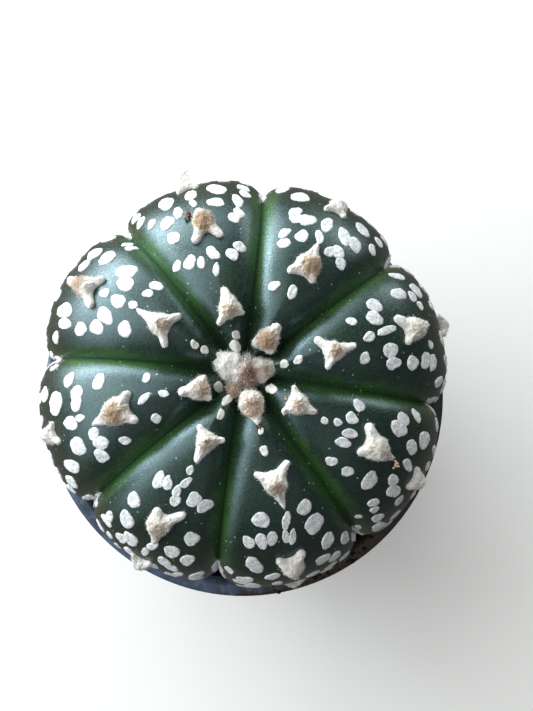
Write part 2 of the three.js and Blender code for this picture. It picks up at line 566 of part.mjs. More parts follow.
// The dish that the belly and the root neck press into the soil, as radius and height
function dishProfile() {
  const shoreHeight = SOIL_LEVEL + CRUMB - WAIST_LEVEL;
  const shore = RIDGE.find((entry) => entry.height < shoreHeight && entry.radius > DIMPLE_RADIUS);
  const dish = [[shore.radius + SOIL_GAP, SOIL_LEVEL]];
  DISH_LATITUDES.forEach((degrees) => {
    const { radius, height } = ridgeAtLatitude(degrees);
    dish.push([radius + SOIL_GAP, WAIST_LEVEL + height - SOIL_GAP]);
  });
  ROOT.filter(([radius, depth]) => depth > BELLY_DEPTH && radius > 0).forEach(([radius, depth]) => {
    dish.push([radius + SOIL_GAP + FACET_CLEARANCE, WAIST_LEVEL - depth - SOIL_GAP]);
  });
  return dish;
}

// A ring of soil, shifted towards the plant's own axis by a share and uneven by the size of its crumbs
function soilRing(radius, height, shift, crumb, row) {
  return Array.from({ length: SOIL_SIDES }, (_, i) => {
    const angle = (i / SOIL_SIDES) * 2 * Math.PI;
    const rise = crumb * CRUMB_RISE * (scatter(i, row) - 0.5);
    const drift = crumb * CRUMB_DRIFT * (scatter(i, row + CRUMB_DRIFT_ROWS) - 0.5);
    return new THREE.Vector3(
      shift * BODY_X + (radius + drift) * Math.cos(angle),
      shift * BODY_Y + (radius + drift) * Math.sin(angle),
      height + rise,
    );
  });
}

function soilGeometry() {
  const floor = POT_FLOOR + SOIL_GAP;
  const bandFoot = POT_HEIGHT - BAND_HEIGHT;
  const edge = potInsideAt(SOIL_LEVEL) - SOIL_GAP - CRUMB_CLEARANCE;
  const dish = dishProfile();
  const shore = dish[0][0];
  const rings = [
    soilRing(potInsideAt(floor) - SOIL_GAP - FACET_CLEARANCE, floor, 0, 0, 0),
    soilRing(potInsideAt(bandFoot) - SOIL_GAP - FACET_CLEARANCE, bandFoot, 0, 0, 0),
    soilRing(edge, SOIL_LEVEL - SOIL_EDGE_DROP, 0, 0, 0),
  ];
  for (let row = 0; row < SOIL_RINGS; row++) {
    const share = (row + 0.5) / SOIL_RINGS;
    rings.push(soilRing(THREE.MathUtils.lerp(edge, shore, share), SOIL_LEVEL, share, CRUMB, row));
  }
  dish.forEach(([radius, height]) => rings.push(soilRing(radius, height, 1, 0, 0)));
  const bottom = new THREE.Vector3(0, 0, floor);
  const rootTip = WAIST_LEVEL - ROOT[ROOT.length - 1][1];
  const pit = new THREE.Vector3(BODY_X, BODY_Y, rootTip - 2 * SOIL_GAP);
  return ringedGeometry(pit, rings.reverse(), bottom);
}

function part(name, geometry, look) {
  const mesh = new THREE.Mesh(geometry, new THREE.MeshStandardMaterial({ ...look, metalness: 0 }));
  mesh.name = name;
  return mesh;
}

const plant = new THREE.Group();
plant.add(part('pot', potGeometry(), POT_LOOK));
plant.add(part('soil', soilGeometry(), SOIL_LOOK));
plant.add(part('cactus', cactusGeometry(), SKIN_LOOK));

export default plant;
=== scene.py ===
import itertools
import math

import bpy
import numpy as np
from mathutils import Matrix, Vector


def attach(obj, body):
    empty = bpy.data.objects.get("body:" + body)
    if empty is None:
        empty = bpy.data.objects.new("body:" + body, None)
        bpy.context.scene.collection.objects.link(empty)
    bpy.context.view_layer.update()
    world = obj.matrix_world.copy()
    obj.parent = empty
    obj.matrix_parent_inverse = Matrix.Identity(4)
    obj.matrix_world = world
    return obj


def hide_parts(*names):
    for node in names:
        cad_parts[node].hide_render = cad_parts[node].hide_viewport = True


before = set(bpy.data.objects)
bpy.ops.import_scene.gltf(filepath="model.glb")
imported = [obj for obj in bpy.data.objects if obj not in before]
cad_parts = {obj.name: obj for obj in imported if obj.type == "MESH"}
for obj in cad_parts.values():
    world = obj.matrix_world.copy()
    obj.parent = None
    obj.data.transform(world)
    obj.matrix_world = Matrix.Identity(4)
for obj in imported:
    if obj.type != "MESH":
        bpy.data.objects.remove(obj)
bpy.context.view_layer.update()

# Pot: one thin moulded plastic pot, slate blue, widening to a plain band and a small lip.
# It stands on its floor, which has six drain holes, and is filled with soil. Sizes are in millimetres.
MM = 0.001
scene = bpy.context.scene
POT_HEIGHT = 52
POT_RIM_RADIUS = 30
POT_BASE_RADIUS = 21
POT_WALL = 1.2
POT_FLOOR = 2
BAND_HEIGHT = 8
BAND_STEP = 0.7
LIP_WIDTH = 1.7
LIP_HEIGHT = 1.7
LIP_OVERHANG = 0.7
EDGE = 0.4
CORNER_RADIUS = 0.45
POT_SIDES = 160
DRAIN_HOLES = 6
DRAIN_RADIUS = 2.6
DRAIN_RING = 13.5
DRAIN_SIDES = 48

SLATE = (96, 116, 144)
SLATE_DARK = (58, 70, 88)
DUST = (168, 170, 170)
RIM_DIRT = (62, 42, 34)
# Painted shade on the pot's right side: its colour, where it starts and where it is full
SHADED_SLATE = (26, 28, 32)
SHADE_FROM = 10.0
SHADE_TO = 20.0
RIM_DIRT_DEPTH = 3.0
FRONT_WAY = (0.45, 0.9)
RIM_DIRT_FROM = 26.2
RIM_DIRT_TO = 28.8


def paint(colour):
    """A colour given as red, green and blue from 0 to 255, as the shaders take it."""
    shares = [value / 255 for value in colour]
    return [s / 12.92 if s <= 0.04045 else ((s + 0.055) / 1.055) ** 2.4 for s in shares] + [1.0]


class Nodes:
    """A tree of shader nodes, with short ways to add to it."""

    def fill(self, sockets, inputs):
        """Sets or links sockets by number or name, whose underscores stand for spaces."""
        for name, value in inputs.items():
            socket = sockets[name.replace("_", " ") if isinstance(name, str) else name]
            if isinstance(value, bpy.types.NodeSocket):
                self.tree.links.new(value, socket)
            else:
                socket.default_value = value

    def node(self, kind, inputs=None, **settings):
        made = self.tree.nodes.new("ShaderNode" + kind)
        for name, value in settings.items():
            setattr(made, name, value)
        self.fill(made.inputs, inputs or {})
        return made

    def mixed(self, share, *colours, way="MIX"):
        """Two colours mixed by a share; each is a socket, or red, green and blue from 0 to 255."""
        first, second = [paint(colour) if isinstance(colour, tuple) else colour for colour in colours]
        inputs = {0: share, 6: first, 7: second}
        return self.node("Mix", inputs, data_type="RGBA", blend_type=way).outputs[2]

    def spread(self, value, low, high, to_low=0.0, to_high=1.0):
        """A value's span from low to high, eased onto another span."""
        inputs = {0: value, 1: low, 2: high, 3: to_low, 4: to_high}
        return self.node("MapRange", inputs, interpolation_type="SMOOTHSTEP").outputs[0]

    def worked(self, how, first, second):
        return self.node("Math", {0: first, 1: second}, operation=how).outputs[0]

    def plus(self, first, second):
        return self.worked("ADD", first, second)

    def minus(self, first, second):
        return self.worked("SUBTRACT", first, second)

    def times(self, first, second):
        return self.worked("MULTIPLY", first, second)

    def cloud(self, scale, detail, **more):
        inputs = {"Vector": self.place, "Scale": scale, "Detail": detail, **more}
        return self.node("TexNoise", inputs).outputs[0]

    def cells(self, scale, **settings):
        return self.node("TexVoronoi", {"Vector": self.place, "Scale": scale}, **settings).outputs


class Effect(Nodes):
    """A group of nodes that more than one finish uses, with named inputs and outputs."""

    def __init__(self, name, takes, gives):
        self.tree = bpy.data.node_groups.new(name, "ShaderNodeTree")
        sockets = self.tree.interface
        sockets.new_socket("Place", in_out="INPUT", socket_type="NodeSocketVector")
        for name, value in takes.items():
            socket = sockets.new_socket(name, in_out="INPUT", socket_type="NodeSocketFloat")
            socket.default_value = value
        for name in gives:
            sockets.new_socket(name, in_out="OUTPUT", socket_type="NodeSocketFloat")
        self.given = self.tree.nodes.new("NodeGroupInput").outputs
        self.place = self.given["Place"]
        self.gives = self.tree.nodes.new("NodeGroupOutput").inputs


# Small round specks, thinly and unevenly strewn: dust on the pot, tiny scales on the skin
SPECK_EDGE = 0.03
specks = Effect("specks", {"Spacing": 1.0, "Size": 0.12, "Share": 0.4}, ["Mask"])
spots = specks.cells(specks.worked("DIVIDE", 1, specks.given["Spacing"]))
lot = specks.node("SeparateColor", {0: spots["Color"]}).outputs
chosen = specks.worked("LESS_THAN", lot[0], specks.given["Share"])
reach = specks.times(specks.given["Size"], lot[1])
inside = specks.spread(specks.minus(reach, spots["Distance"]), 0, SPECK_EDGE)
specks.fill(specks.gives, {"Mask": specks.times(inside, chosen)})

# Uneven tone: two sizes of soft cloud over each other
FINER_CLOUD = 5.3
clouds = Effect("uneven tone", {"Size": 4.0, "Fine share": 0.4}, ["Tone"])
scale = clouds.worked("DIVIDE", 1, clouds.given["Size"])
coarse = clouds.cloud(scale, 3)
fine = clouds.cloud(clouds.times(scale, FINER_CLOUD), 4)
both = clouds.node("Mix", {0: clouds.given["Fine share"], 2: coarse, 3: fine}).outputs[0]
clouds.fill(clouds.gives, {"Tone": both})


class Finish(Nodes):
    """A material in the making, with the place of each point in millimetres."""

    def __init__(self, name):
        self.material = bpy.data.materials.new(name)
        self.material.use_nodes = True
        self.tree = self.material.node_tree
        where = self.node("TexCoord").outputs["Object"]
        self.place = self.node("VectorMath", {0: where, "Scale": 1 / MM}, operation="SCALE").outputs[0]

    def effect(self, effect, **inputs):
        """An effect put in with its own values."""
        made = self.node("Group", node_tree=effect.tree)
        self.fill(made.inputs, {"Place": self.place, **inputs})
        return made.outputs

    def uneven(self, size, fine_share):
        return self.effect(clouds, Size=size, Fine_share=fine_share)["Tone"]

    def mark(self, name, output="Fac"):
        """A value kept on the points of the mesh."""
        return self.node("Attribute", attribute_name=name).outputs[output]

    def axes(self):
        return self.node("SeparateXYZ", {0: self.place}).outputs

    def relief(self, height, depth):
        """A bump of a height map, with its depth in millimetres."""
        return self.node("Bump", {"Height": height, "Distance": depth * MM, "Strength": 1.0}).outputs[0]

    def coat(self, share, *colours, way="MIX"):
        """Lays a colour over those so far by a share; the first coat takes two colours."""
        below = [self.colour] if len(colours) == 1 else []
        self.colour = self.mixed(share, *below, *colours, way=way)

    def shade(self, **inputs):
        """Gives the shader its colour and what else it takes."""
        self.fill(self.tree.nodes["Principled BSDF"].inputs, {"Base_Color": self.colour, **inputs})


def new_piece(name, points, faces, finish, marks=None):
    """A smooth mesh from points in millimetres, with named values kept on its points."""
    mesh = bpy.data.meshes.new(name)
    mesh.from_pydata((np.asarray(points) * MM).tolist(), [], faces)
    for mark, values in (marks or {}).items():
        values = np.asarray(values, np.float32)
        kind = "FLOAT_VECTOR" if values.ndim == 2 else "FLOAT"
        attribute = mesh.attributes.new(mark, kind, "POINT")
        attribute.data.foreach_set("vector" if values.ndim == 2 else "value", values.ravel())
    mesh.shade_smooth()
    mesh.materials.append(finish.material)
    piece = bpy.data.objects.new(name, mesh)
    scene.collection.objects.link(piece)
    return piece


def turns_of(count):
    """Bearings evenly spaced round a full turn."""
    return np.arange(count) * 2 * np.pi / count


def on_circle(radius, bearing, height):
    """Points at a radius, a bearing and a height."""
    return np.stack(np.broadcast_arrays(radius * np.cos(bearing), radius * np.sin(bearing), height), -1)


def ring_faces(count, rings):
    """Faces of a closed skin from a first point over rings of points to a last point."""
    here = np.arange(count)
    after = (here + 1) % count
    last = 1 + count * rings
    low = last - count
    first_fan = np.stack([np.zeros(count, int), 1 + here, 1 + after], 1)
    last_fan = np.stack([np.full(count, last), low + after, low + here], 1)
    start = 1 + count * np.arange(rings - 1)[:, None]
    bands = np.stack([start + here, start + count + here, start + count + after, start + after], -1)
    return first_fan.tolist() + bands.reshape(-1, 4).tolist() + last_fan.tolist()


def eased(corners, radius, steps=4):
    """An outline with its corners rounded off, and a holding point before and after each."""
    corners = [Vector(corner) for corner in corners]
    outline = [corners[0]]
    for before, corner, after in zip(corners, corners[1:], corners[2:]):
        back, ahead = before - corner, after - corner
        cut = min(radius, 0.3 * back.length, 0.3 * ahead.length)
        start, end = corner + back.normalized() * cut, corner + ahead.normalized() * cut
        shares = [step / steps for step in range(steps + 1)]
        bend = [start.lerp(corner, share).lerp(corner.lerp(end, share), share) for share in shares]
        holds = [corner + way.normalized() * cut * 1.5 for way in (back, ahead)]
        outline += [holds[0], *bend, holds[1]]
    return outline + [corners[-1]]


def turned(outline, sides):
    """Points and faces of a piece turned about the pot's axis; the outline runs from top to bottom."""
    rings = [on_circle(radius, turns_of(sides), height) for radius, height in outline[1:-1]]
    top, foot = ([(0, 0, end[1])] for end in (outline[0], outline[-1]))
    return np.concatenate([top, *rings, foot]), ring_faces(sides, len(rings))


band_foot = POT_HEIGHT - BAND_HEIGHT
band_radius = POT_RIM_RADIUS - LIP_OVERHANG
mouth = POT_RIM_RADIUS - LIP_WIDTH
pot_outline = [
    (0, POT_FLOOR), (POT_BASE_RADIUS - POT_WALL, POT_FLOOR),
    (mouth - BAND_STEP, band_foot), (mouth - EDGE, POT_HEIGHT - EDGE),
    (mouth, POT_HEIGHT), (POT_RIM_RADIUS - EDGE, POT_HEIGHT),
    (POT_RIM_RADIUS, POT_HEIGHT - EDGE), (POT_RIM_RADIUS, POT_HEIGHT - LIP_HEIGHT),
    (band_radius, POT_HEIGHT - LIP_HEIGHT - EDGE), (band_radius - EDGE, band_foot + BAND_STEP),
    (band_radius - BAND_STEP - EDGE, band_foot), (POT_BASE_RADIUS, 2 * EDGE),
    (POT_BASE_RADIUS - 2 * EDGE, 0), (0, 0),
]
plastic = Finish("slate plastic")
mottle = plastic.uneven(9, 0.35)
plastic.coat(plastic.spread(mottle, 0.35, 0.68), SLATE_DARK, SLATE)
film = plastic.spread(plastic.uneven(5, 0.6), 0.5, 0.7, 0, 0.32)
plastic.coat(film, DUST)
dust = plastic.effect(specks, Spacing=1.1, Size=0.2, Share=0.3)["Mask"]
plastic.coat(plastic.times(dust, 0.7), DUST)
axes = plastic.axes()
smear = plastic.cloud(0.35, 6, Roughness=0.65)
# Painted shade: the pot darkens to near black towards its right side, with a ragged edge
ragged = plastic.plus(axes[0], plastic.spread(smear, 0.3, 0.7, -3, 3))
plastic.coat(plastic.spread(ragged, SHADE_FROM, SHADE_TO, 0, 0.85), SHADED_SLATE)
to_front = plastic.minus(plastic.times(axes[0], FRONT_WAY[0]), plastic.times(axes[1], FRONT_WAY[1]))
high = plastic.spread(axes[2], POT_HEIGHT - RIM_DIRT_DEPTH, POT_HEIGHT - 0.5)
ragged = plastic.plus(to_front, plastic.spread(smear, 0.3, 0.7, -2.5, 2.5))
dirty = plastic.spread(ragged, RIM_DIRT_FROM, RIM_DIRT_TO)
plastic.coat(plastic.times(dirty, high), RIM_DIRT)
plastic.shade(
    Roughness=plastic.spread(mottle, 0.3, 0.7, 0.38, 0.55),
    Normal=plastic.relief(plastic.cloud(3, 5), 0.05),
)
pot_piece = new_piece("pot_shell", *turned(eased(pot_outline, CORNER_RADIUS), POT_SIDES), plastic)
drills = []
for middle in on_circle(DRAIN_RING * MM, turns_of(DRAIN_HOLES), POT_FLOOR / 2 * MM):
    bpy.ops.mesh.primitive_cylinder_add(
        vertices=DRAIN_SIDES, radius=DRAIN_RADIUS * MM, depth=3 * POT_FLOOR * MM, location=middle
    )
    drills.append(bpy.context.object)
bpy.context.view_layer.objects.active = drills[0]
for drill in drills:
    drill.select_set(True)
bpy.ops.object.join()
drilled = pot_piece.modifiers.new("drain holes", "BOOLEAN")
drilled.object = drills[0]
drilled.operation = "DIFFERENCE"
bpy.context.view_layer.objects.active = pot_piece
bpy.ops.object.modifier_apply(modifier=drilled.name)
bpy.data.objects.remove(drills[0])
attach(pot_piece, "root")
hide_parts("pot")


# Soil: a dark, crumbly mix of peat, bark and grit, heaped to just under the rim.
# The belly of the cactus lies in a shallow dish in it, and the root goes down through the middle.
WAIST_LEVEL = 64
BODY_MIDDLE = np.array([-0.2, 0.9, WAIST_LEVEL])
SOIL_LEVEL = 49
SOIL_GAP = 0.3
SOIL_LUMPS = 0.55
SOIL_EDGE_DROP = 1.4
SHORE = 20.6
# The dish from its edge down: radius and height
DISH = [(17.4, 46.9), (13.9, 45.6), (10.1, 44.6), (7.2, 44.0), (4, 42.2), (2.6, 36.7), (1.5, 30.7)]
DISH_BOTTOM = 27.4
SOIL_SECTORS = 220
SOIL_RINGS = 26
LUMP_STEPS = 5
CRUMBS = 520
CRUMB_SEED = 41
CRUMB_SIZES = (0.25, 0.85)
CRUMB_UNEVENNESS = 0.28
RIM_CRUMBS = 46
RIM_CRUMB_SIZES = (0.14, 0.3)
RIM_CRUMBS_AT = 296
RIM_CRUMBS_SPREAD = 11

PEAT = (34, 23, 17)
BARK = (74, 50, 34)
GRIT = (138, 124, 106)

CELL_STEPS = np.array([73856093, 19349663, 83492791])
CELL_FACTOR = 1274126177
LOW_BITS = 0x7FFFFFFF


def wander(points, size, seed=0):
    """Smooth noise from -1 to 1 at each point, changing over about that size."""
    spots = np.asarray(points, float) / size + 19.19 * seed
    cell = np.floor(spots).astype(np.int64)
    within = spots - cell
    ease = within * within * (3 - 2 * within)
    total = np.zeros(spots.shape[:-1])
    for corner in itertools.product((0, 1), repeat=3):
        number = (cell + corner) @ CELL_STEPS
        number = (((number ^ (number >> 13)) & LOW_BITS) * CELL_FACTOR) & LOW_BITS
        value = ((number ^ (number >> 15)) % 10007) / 10006
        total += value * np.prod(np.where(corner, ease, 1 - ease), axis=-1)
    return 2 * total - 1


def wander_3d(points, size, seed=0):
    return np.stack([wander(points, size, seed + axis) for axis in (0.31, 0.62, 0.93)], -1)


def gathered(solids):
    """Points and faces of many small solids as one."""
    points, faces, start = [], [], 0
    for some_points, some_faces in solids:
        points.append(some_points)
        faces.extend([[corner + start for corner in face] for face in some_faces])
        start += len(some_points)
    return np.concatenate(points), faces


soil = Finish("potting soil")
mottle = soil.uneven(2.2, 0.55)
soil.coat(soil.spread(mottle, 0.4, 0.66), PEAT, BARK)
grains = soil.cells(1.7)["Color"]
pale = soil.spread(soil.node("SeparateColor", {0: grains}).outputs[0], 0.86, 0.9)
soil.coat(soil.times(pale, 0.55), GRIT)
crust = soil.cloud(2.4, 8, Roughness=0.7)
soil.shade(
    Roughness=soil.spread(mottle, 0.3, 0.7, 0.98, 0.8),
    Specular_IOR_Level=0.25,
    Normal=soil.relief(crust, 0.5),
)

soil_edge = mouth - BAND_STEP - EDGE - SOIL_GAP
soil_floor = POT_FLOOR + SOIL_GAP


def soil_ring(radius, height, rough, shift):
    """A ring of soil, lumpy by the given amount and shifted towards the plant's own axis."""
    flat = on_circle(radius, turns_of(SOIL_SECTORS), height)
    flat[:, :2] += shift * BODY_MIDDLE[:2]
    flat += 0.5 * rough * wander_3d(flat, 1.1, 3)
    flat[:, 2] += rough * wander(flat, 3.4, 5)
    return flat


soil_rings = [soil_ring(radius, height, 0, 1) for radius, height in reversed(DISH)]
soil_rings += [
    soil_ring(SHORE + (soil_edge - SHORE) * share, SOIL_LEVEL, SOIL_LUMPS, 1 - share)
    for share in np.linspace(0, 1, SOIL_RINGS)
]
soil_rings += [
    soil_ring(soil_edge, SOIL_LEVEL - SOIL_EDGE_DROP, 0, 0),
    soil_ring(soil_edge, band_foot, 0, 0),
    soil_ring(POT_BASE_RADIUS - POT_WALL - SOIL_GAP, soil_floor, 0, 0),
]
soil_points = np.concatenate([[(*BODY_MIDDLE[:2], DISH_BOTTOM)], *soil_rings, [(0, 0, soil_floor)]])
soil_piece = new_piece("soil_bed", soil_points, ring_faces(SOIL_SECTORS, len(soil_rings)), soil)


def lump_points(steps):
    """An even round lump of unit size and its faces, to be pulled into crumbs."""
    tilts = np.arange(1, steps) * np.pi / steps
    rings = [on_circle(np.sin(tilt), turns_of(2 * steps), np.cos(tilt)) for tilt in tilts]
    return np.concatenate([[(0, 0, 1)], *rings, [(0, 0, -1)]]), ring_faces(2 * steps, steps - 1)


lump, lump_faces = lump_points(LUMP_STEPS)


def uneven_lump(key, unevenness, size):
    return lump * (1 + unevenness * wander(lump + key, size))[:, None]


def tumbled(shape, chance):
    """A shape turned a random way round."""
    turn = Matrix.Rotation(chance.uniform(0, 2 * np.pi), 3, chance.normal(size=3).tolist())
    return shape @ np.array(turn)


chance = np.random.default_rng(CRUMB_SEED)
crumbs = []
for crumb in range(CRUMBS):
    bearing = chance.uniform(0, 2 * np.pi)
    radius = np.sqrt(chance.uniform(SHORE**2 + 12, (soil_edge - 1.0) ** 2))
    size = CRUMB_SIZES[0] + CRUMB_SIZES[1] * chance.random() ** 2.5
    stretch = size * np.array([1, chance.uniform(0.5, 1), chance.uniform(0.4, 0.8)])
    shape = tumbled(uneven_lump(crumb, CRUMB_UNEVENNESS, 0.7) * stretch, chance)
    crumbs.append((shape + on_circle(radius, bearing, SOIL_LEVEL + 0.35 * size), lump_faces))
for crumb in range(RIM_CRUMBS):
    bearing = math.radians(chance.normal(RIM_CRUMBS_AT, RIM_CRUMBS_SPREAD))
    size = RIM_CRUMB_SIZES[0] + RIM_CRUMB_SIZES[1] * chance.random() ** 2
    shape = uneven_lump(crumb, CRUMB_UNEVENNESS, 0.7) * size * [1, 0.8, 0.6]
    radius = chance.uniform(mouth, POT_RIM_RADIUS - 0.2)
    crumbs.append((shape + on_circle(radius, bearing, POT_HEIGHT + 0.3 * size), lump_faces))
crumb_piece = new_piece("soil_crumbs", *gathered(crumbs), soil)
for piece in (soil_piece, crumb_piece):
    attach(piece, "root")
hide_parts("soil")


# Skin: the eight-ribbed body, one firm waxy succulent dome over a belly that narrows to the root.
# It is blue-green on the ribs, fresh green in the grooves, and corky and brown low on the belly.
BODY_RADIUS = 28.3
DOME_HEIGHT = 16.2
DOME_SQUARENESS = 2.2
BELLY_DEPTH = 20
BELLY_SQUARENESS = 2.05
DIMPLE_DEPTH = 3.0
DIMPLE_RADIUS = 6.5
GROOVE_DEPTH = 2.1
SHOULDER = 1.55
RIB_ARCH = 0.35
CROWN_ARCH = 0.35
CROWN_ARCH_RADIUS = 8
RIBS = 8
HALF_RIB = math.pi / RIBS
GROOVE_SETTLES = 34
# Bearings of the grooves, in degrees
GROOVES_AT_CROWN = np.array([36.5, 82, 126.5, 172, 217.8, 260.5, 306.5, 351.3])
GROOVES_AT_WAIST = np.array([38.3, 84.2, 129.2, 174.6, 219.4, 262.6, 306.2, 352.2])
# The root neck from the top down: radius and depth under the waist
ROOT = [(5, 19.5), (3.6, 21.5), (2.2, 27), (1.1, 33)]
NAVEL_DEPTH = 19.2
ROOT_TIP = 36
UNDULATION = 0.11
UNDULATION_SIZE = 5.5
SAMPLES_PER_RIB = 56
SHOWN_RINGS = 124
HIDDEN_RINGS = 12
SHOWN_FROM = 0.3
SHOWN_TO = 53

RIDGE_GREEN = (11, 24, 14)
FLANK_GREEN = (22, 43, 19)
GROOVE_GREEN = (52, 88, 30)
# Dark green for the grain's dark specks, and for the painted shade along the bottom of each groove
DARK_GRAIN_AND_CREASE_SHADE = (13, 26, 9)
PORE_GREEN = (72, 96, 74)
BELLY_OLIVE = (46, 42, 28)
CORK = (150, 128, 108)
SCALE = (176, 192, 184)
WAX_SHEEN = (0.66, 0.91, 1.0, 1.0)


def ridge_table():
    """The ridge line from the crown over the waist to the navel: way along, radius and height."""
    latitude = np.radians(90 - np.arange(0, 180.01, 0.25))
    up = latitude >= 0
    power = np.where(up, 2 / DOME_SQUARENESS, 2 / BELLY_SQUARENESS)
    radius = BODY_RADIUS * np.clip(np.cos(latitude), 0, None) ** power
    rise = np.where(up, DOME_HEIGHT, -BELLY_DEPTH) * np.abs(np.sin(latitude)) ** power
    height = rise - np.where(up, DIMPLE_DEPTH * np.exp(-((radius / DIMPLE_RADIUS) ** 2)), 0)
    strides = np.hypot(np.diff(radius), np.diff(height))
    return np.concatenate([[0], np.cumsum(strides)]), radius, height


RIDGE_ALONG, RIDGE_RADIUS, RIDGE_HEIGHT = ridge_table()
RIDGE_RUN = np.gradient(RIDGE_RADIUS, RIDGE_ALONG)
RIDGE_FALL = np.gradient(RIDGE_HEIGHT, RIDGE_ALONG)


def along_ridge(along, values):
    return np.interp(along, RIDGE_ALONG, values)


def groove_angle(rib, along):
    """Bearing, in degrees, of the groove that ends a rib; the one before rib 0 is the last, a turn back."""
    settled = np.minimum(along / GROOVE_SETTLES, 1)
    at_crown, at_waist = GROOVES_AT_CROWN[rib % RIBS], GROOVES_AT_WAIST[rib % RIBS]
    return at_crown + (at_waist - at_crown) * settled - np.where(rib < 0, 360, 0)


def skin_point(rib, side, along):
    """Points on the skin; side runs from -1 in one groove to 1 in the next."""
    rib, side, along = np.broadcast_arrays(rib, np.asarray(side, float), np.asarray(along, float))
    ridge_radius = along_ridge(along, RIDGE_RADIUS)
    from_groove = np.clip(1 - np.abs(side), 0, None) * ridge_radius * HALF_RIB
    left, right = groove_angle(rib - 1, along), groove_angle(rib, along)
    angle = np.radians((left + right) / 2 + side * (right - left) / 2)
    run, fall = along_ridge(along, RIDGE_RUN), along_ridge(along, RIDGE_FALL)
    steep = np.hypot(run, fall)
    outward, upward = -fall / steep, run / steep
    ridge_height = along_ridge(along, RIDGE_HEIGHT)
    smooth = on_circle(ridge_radius, angle, ridge_height)
    swell = UNDULATION * wander(smooth, UNDULATION_SIZE, 2) * np.minimum(ridge_radius / 6, 1)
    from_crown = (ridge_radius / CROWN_ARCH_RADIUS) ** 2
    arch = RIB_ARCH + CROWN_ARCH * from_crown * np.exp(1 - from_crown)
    depth = GROOVE_DEPTH * np.exp(-from_groove / SHOULDER) + arch * side**2 - swell
    radius = np.clip(ridge_radius - outward * depth, 0, None)
    return BODY_MIDDLE + on_circle(radius, angle, ridge_height - upward * depth)


def unit(vectors):
    return vectors / (np.linalg.norm(vectors, axis=-1, keepdims=True) + 1e-12)


def skin_frame(rib, across, along, reach=0.15):
    """The skin's place and its ways across the rib, down the rib and out, at millimetres from the ridge."""
    half_width = np.maximum(along_ridge(along, RIDGE_RADIUS), 0.5) * HALF_RIB
    side = np.asarray(across) / half_width
    step = reach / half_width
    origin = skin_point(rib, side, along)
    sideways = unit(skin_point(rib, side + step, along) - skin_point(rib, side - step, along))
    down = skin_point(rib, side, along + reach) - skin_point(rib, side, along - reach)
    out = unit(np.cross(down, sideways))
    return origin, sideways, np.cross(sideways, out), out


even = np.arange(SAMPLES_PER_RIB) * 2 / SAMPLES_PER_RIB - 1
across = np.tile(even * (1.35 - 0.35 * even**2), RIBS)
rib_of = np.repeat(np.arange(RIBS), SAMPLES_PER_RIB)
hidden = RIDGE_ALONG > SHOWN_TO
navel = RIDGE_ALONG[hidden][np.searchsorted(-RIDGE_HEIGHT[hidden], NAVEL_DEPTH)]
levels = np.concatenate([
    np.linspace(SHOWN_FROM, SHOWN_TO, SHOWN_RINGS),
    np.linspace(SHOWN_TO, navel, HIDDEN_RINGS + 1)[1:],
])
skin_rings = skin_point(rib_of[None, :], across[None, :], levels[:, None])
from_middle = skin_rings[0] - BODY_MIDDLE
bearings = np.arctan2(from_middle[:, 1], from_middle[:, 0])
root_rings = [BODY_MIDDLE + on_circle(radius, bearings, -depth) for radius, depth in ROOT]
crown_point = skin_point(0, 0.0, 0.0)
root_tip = [BODY_MIDDLE - [0, 0, ROOT_TIP]]
skin_points = np.concatenate([[crown_point], skin_rings.reshape(-1, 3), *root_rings, root_tip])
skin_faces = ring_faces(len(across), len(levels) + len(root_rings))
groove_reach = (1 - np.abs(across))[None, :] * along_ridge(levels, RIDGE_RADIUS)[:, None] * HALF_RIB
root_count = len(across) * len(root_rings) + 1
from_groove = np.concatenate([[0.0], groove_reach.ravel(), np.full(root_count, 5.0)])
down_rib = np.concatenate([[0.0], np.repeat(levels, len(across)), np.full(root_count, 70.0)])

skin = Finish("waxy skin")
groove = skin.mark("from_groove")
down = skin.mark("down_rib")
mottle = skin.uneven(5, 0.35)
skin.coat(skin.spread(mottle, 0.3, 0.7), RIDGE_GREEN, FLANK_GREEN)
band = skin.plus(1.1, skin.times(down, 0.05))
ripened = skin.spread(down, 4, 19, 0.16, 1)
shifted = skin.plus(groove, skin.spread(mottle, 0.3, 0.7, -0.7, 0.7))
fresh = skin.times(skin.spread(shifted, 0.3, band, 1, 0), ripened)
skin.coat(fresh, GROOVE_GREEN)
pores = skin.cells(3.3)["Distance"]
skin.coat(skin.spread(pores, 0.08, 0.5, 0.3, 0), PORE_GREEN)
grain = skin.cloud(3, 4, Roughness=0.75)
skin.coat(skin.spread(grain, 0.5, 0.75, 0, 0.24), PORE_GREEN)
skin.coat(skin.spread(grain, 0.3, 0.48, 0.4, 0), DARK_GRAIN_AND_CREASE_SHADE)
# Painted shade: a dark line along the bottom of each groove, which is also made rough
shaded_crease = skin.spread(groove, 0.02, 0.2, 1, 0)
skin.coat(skin.times(shaded_crease, 0.7), DARK_GRAIN_AND_CREASE_SHADE)
wavy_down = skin.plus(down, skin.spread(mottle, 0.3, 0.7, -3, 3))
skin.coat(skin.spread(wavy_down, 22, 34, 0, 0.85), BELLY_OLIVE)
cork = skin.spread(skin.uneven(2.6, 0.5), 0.52, 0.62)
low = skin.spread(wavy_down, 36, 47)
skin.coat(skin.times(cork, skin.times(low, 0.8)), CORK)
in_groove = skin.spread(groove, 0, 1.4, 1, 0)
waist_seam = skin.times(in_groove, skin.spread(wavy_down, 29, 33, 0, 0.7))
skin.coat(waist_seam, CORK)
scales = skin.effect(specks, Spacing=0.62, Size=0.22, Share=0.26)["Mask"]
skin.coat(skin.times(scales, 0.85), SCALE)
skin.shade(
    Roughness=skin.worked("MAXIMUM", skin.spread(grain, 0.35, 0.65, 0.25, 0.36), shaded_crease),
    Specular_Tint=WAX_SHEEN,
    Specular_IOR_Level=1.0,
    Normal=skin.relief(skin.plus(grain, skin.times(scales, 0.6)), 0.036),
)
skin_marks = {"from_groove": from_groove, "down_rib": down_rib}
skin_piece = new_piece("ribbed_skin", skin_points, skin_faces, skin, skin_marks)
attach(skin_piece, "root")
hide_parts("cactus")


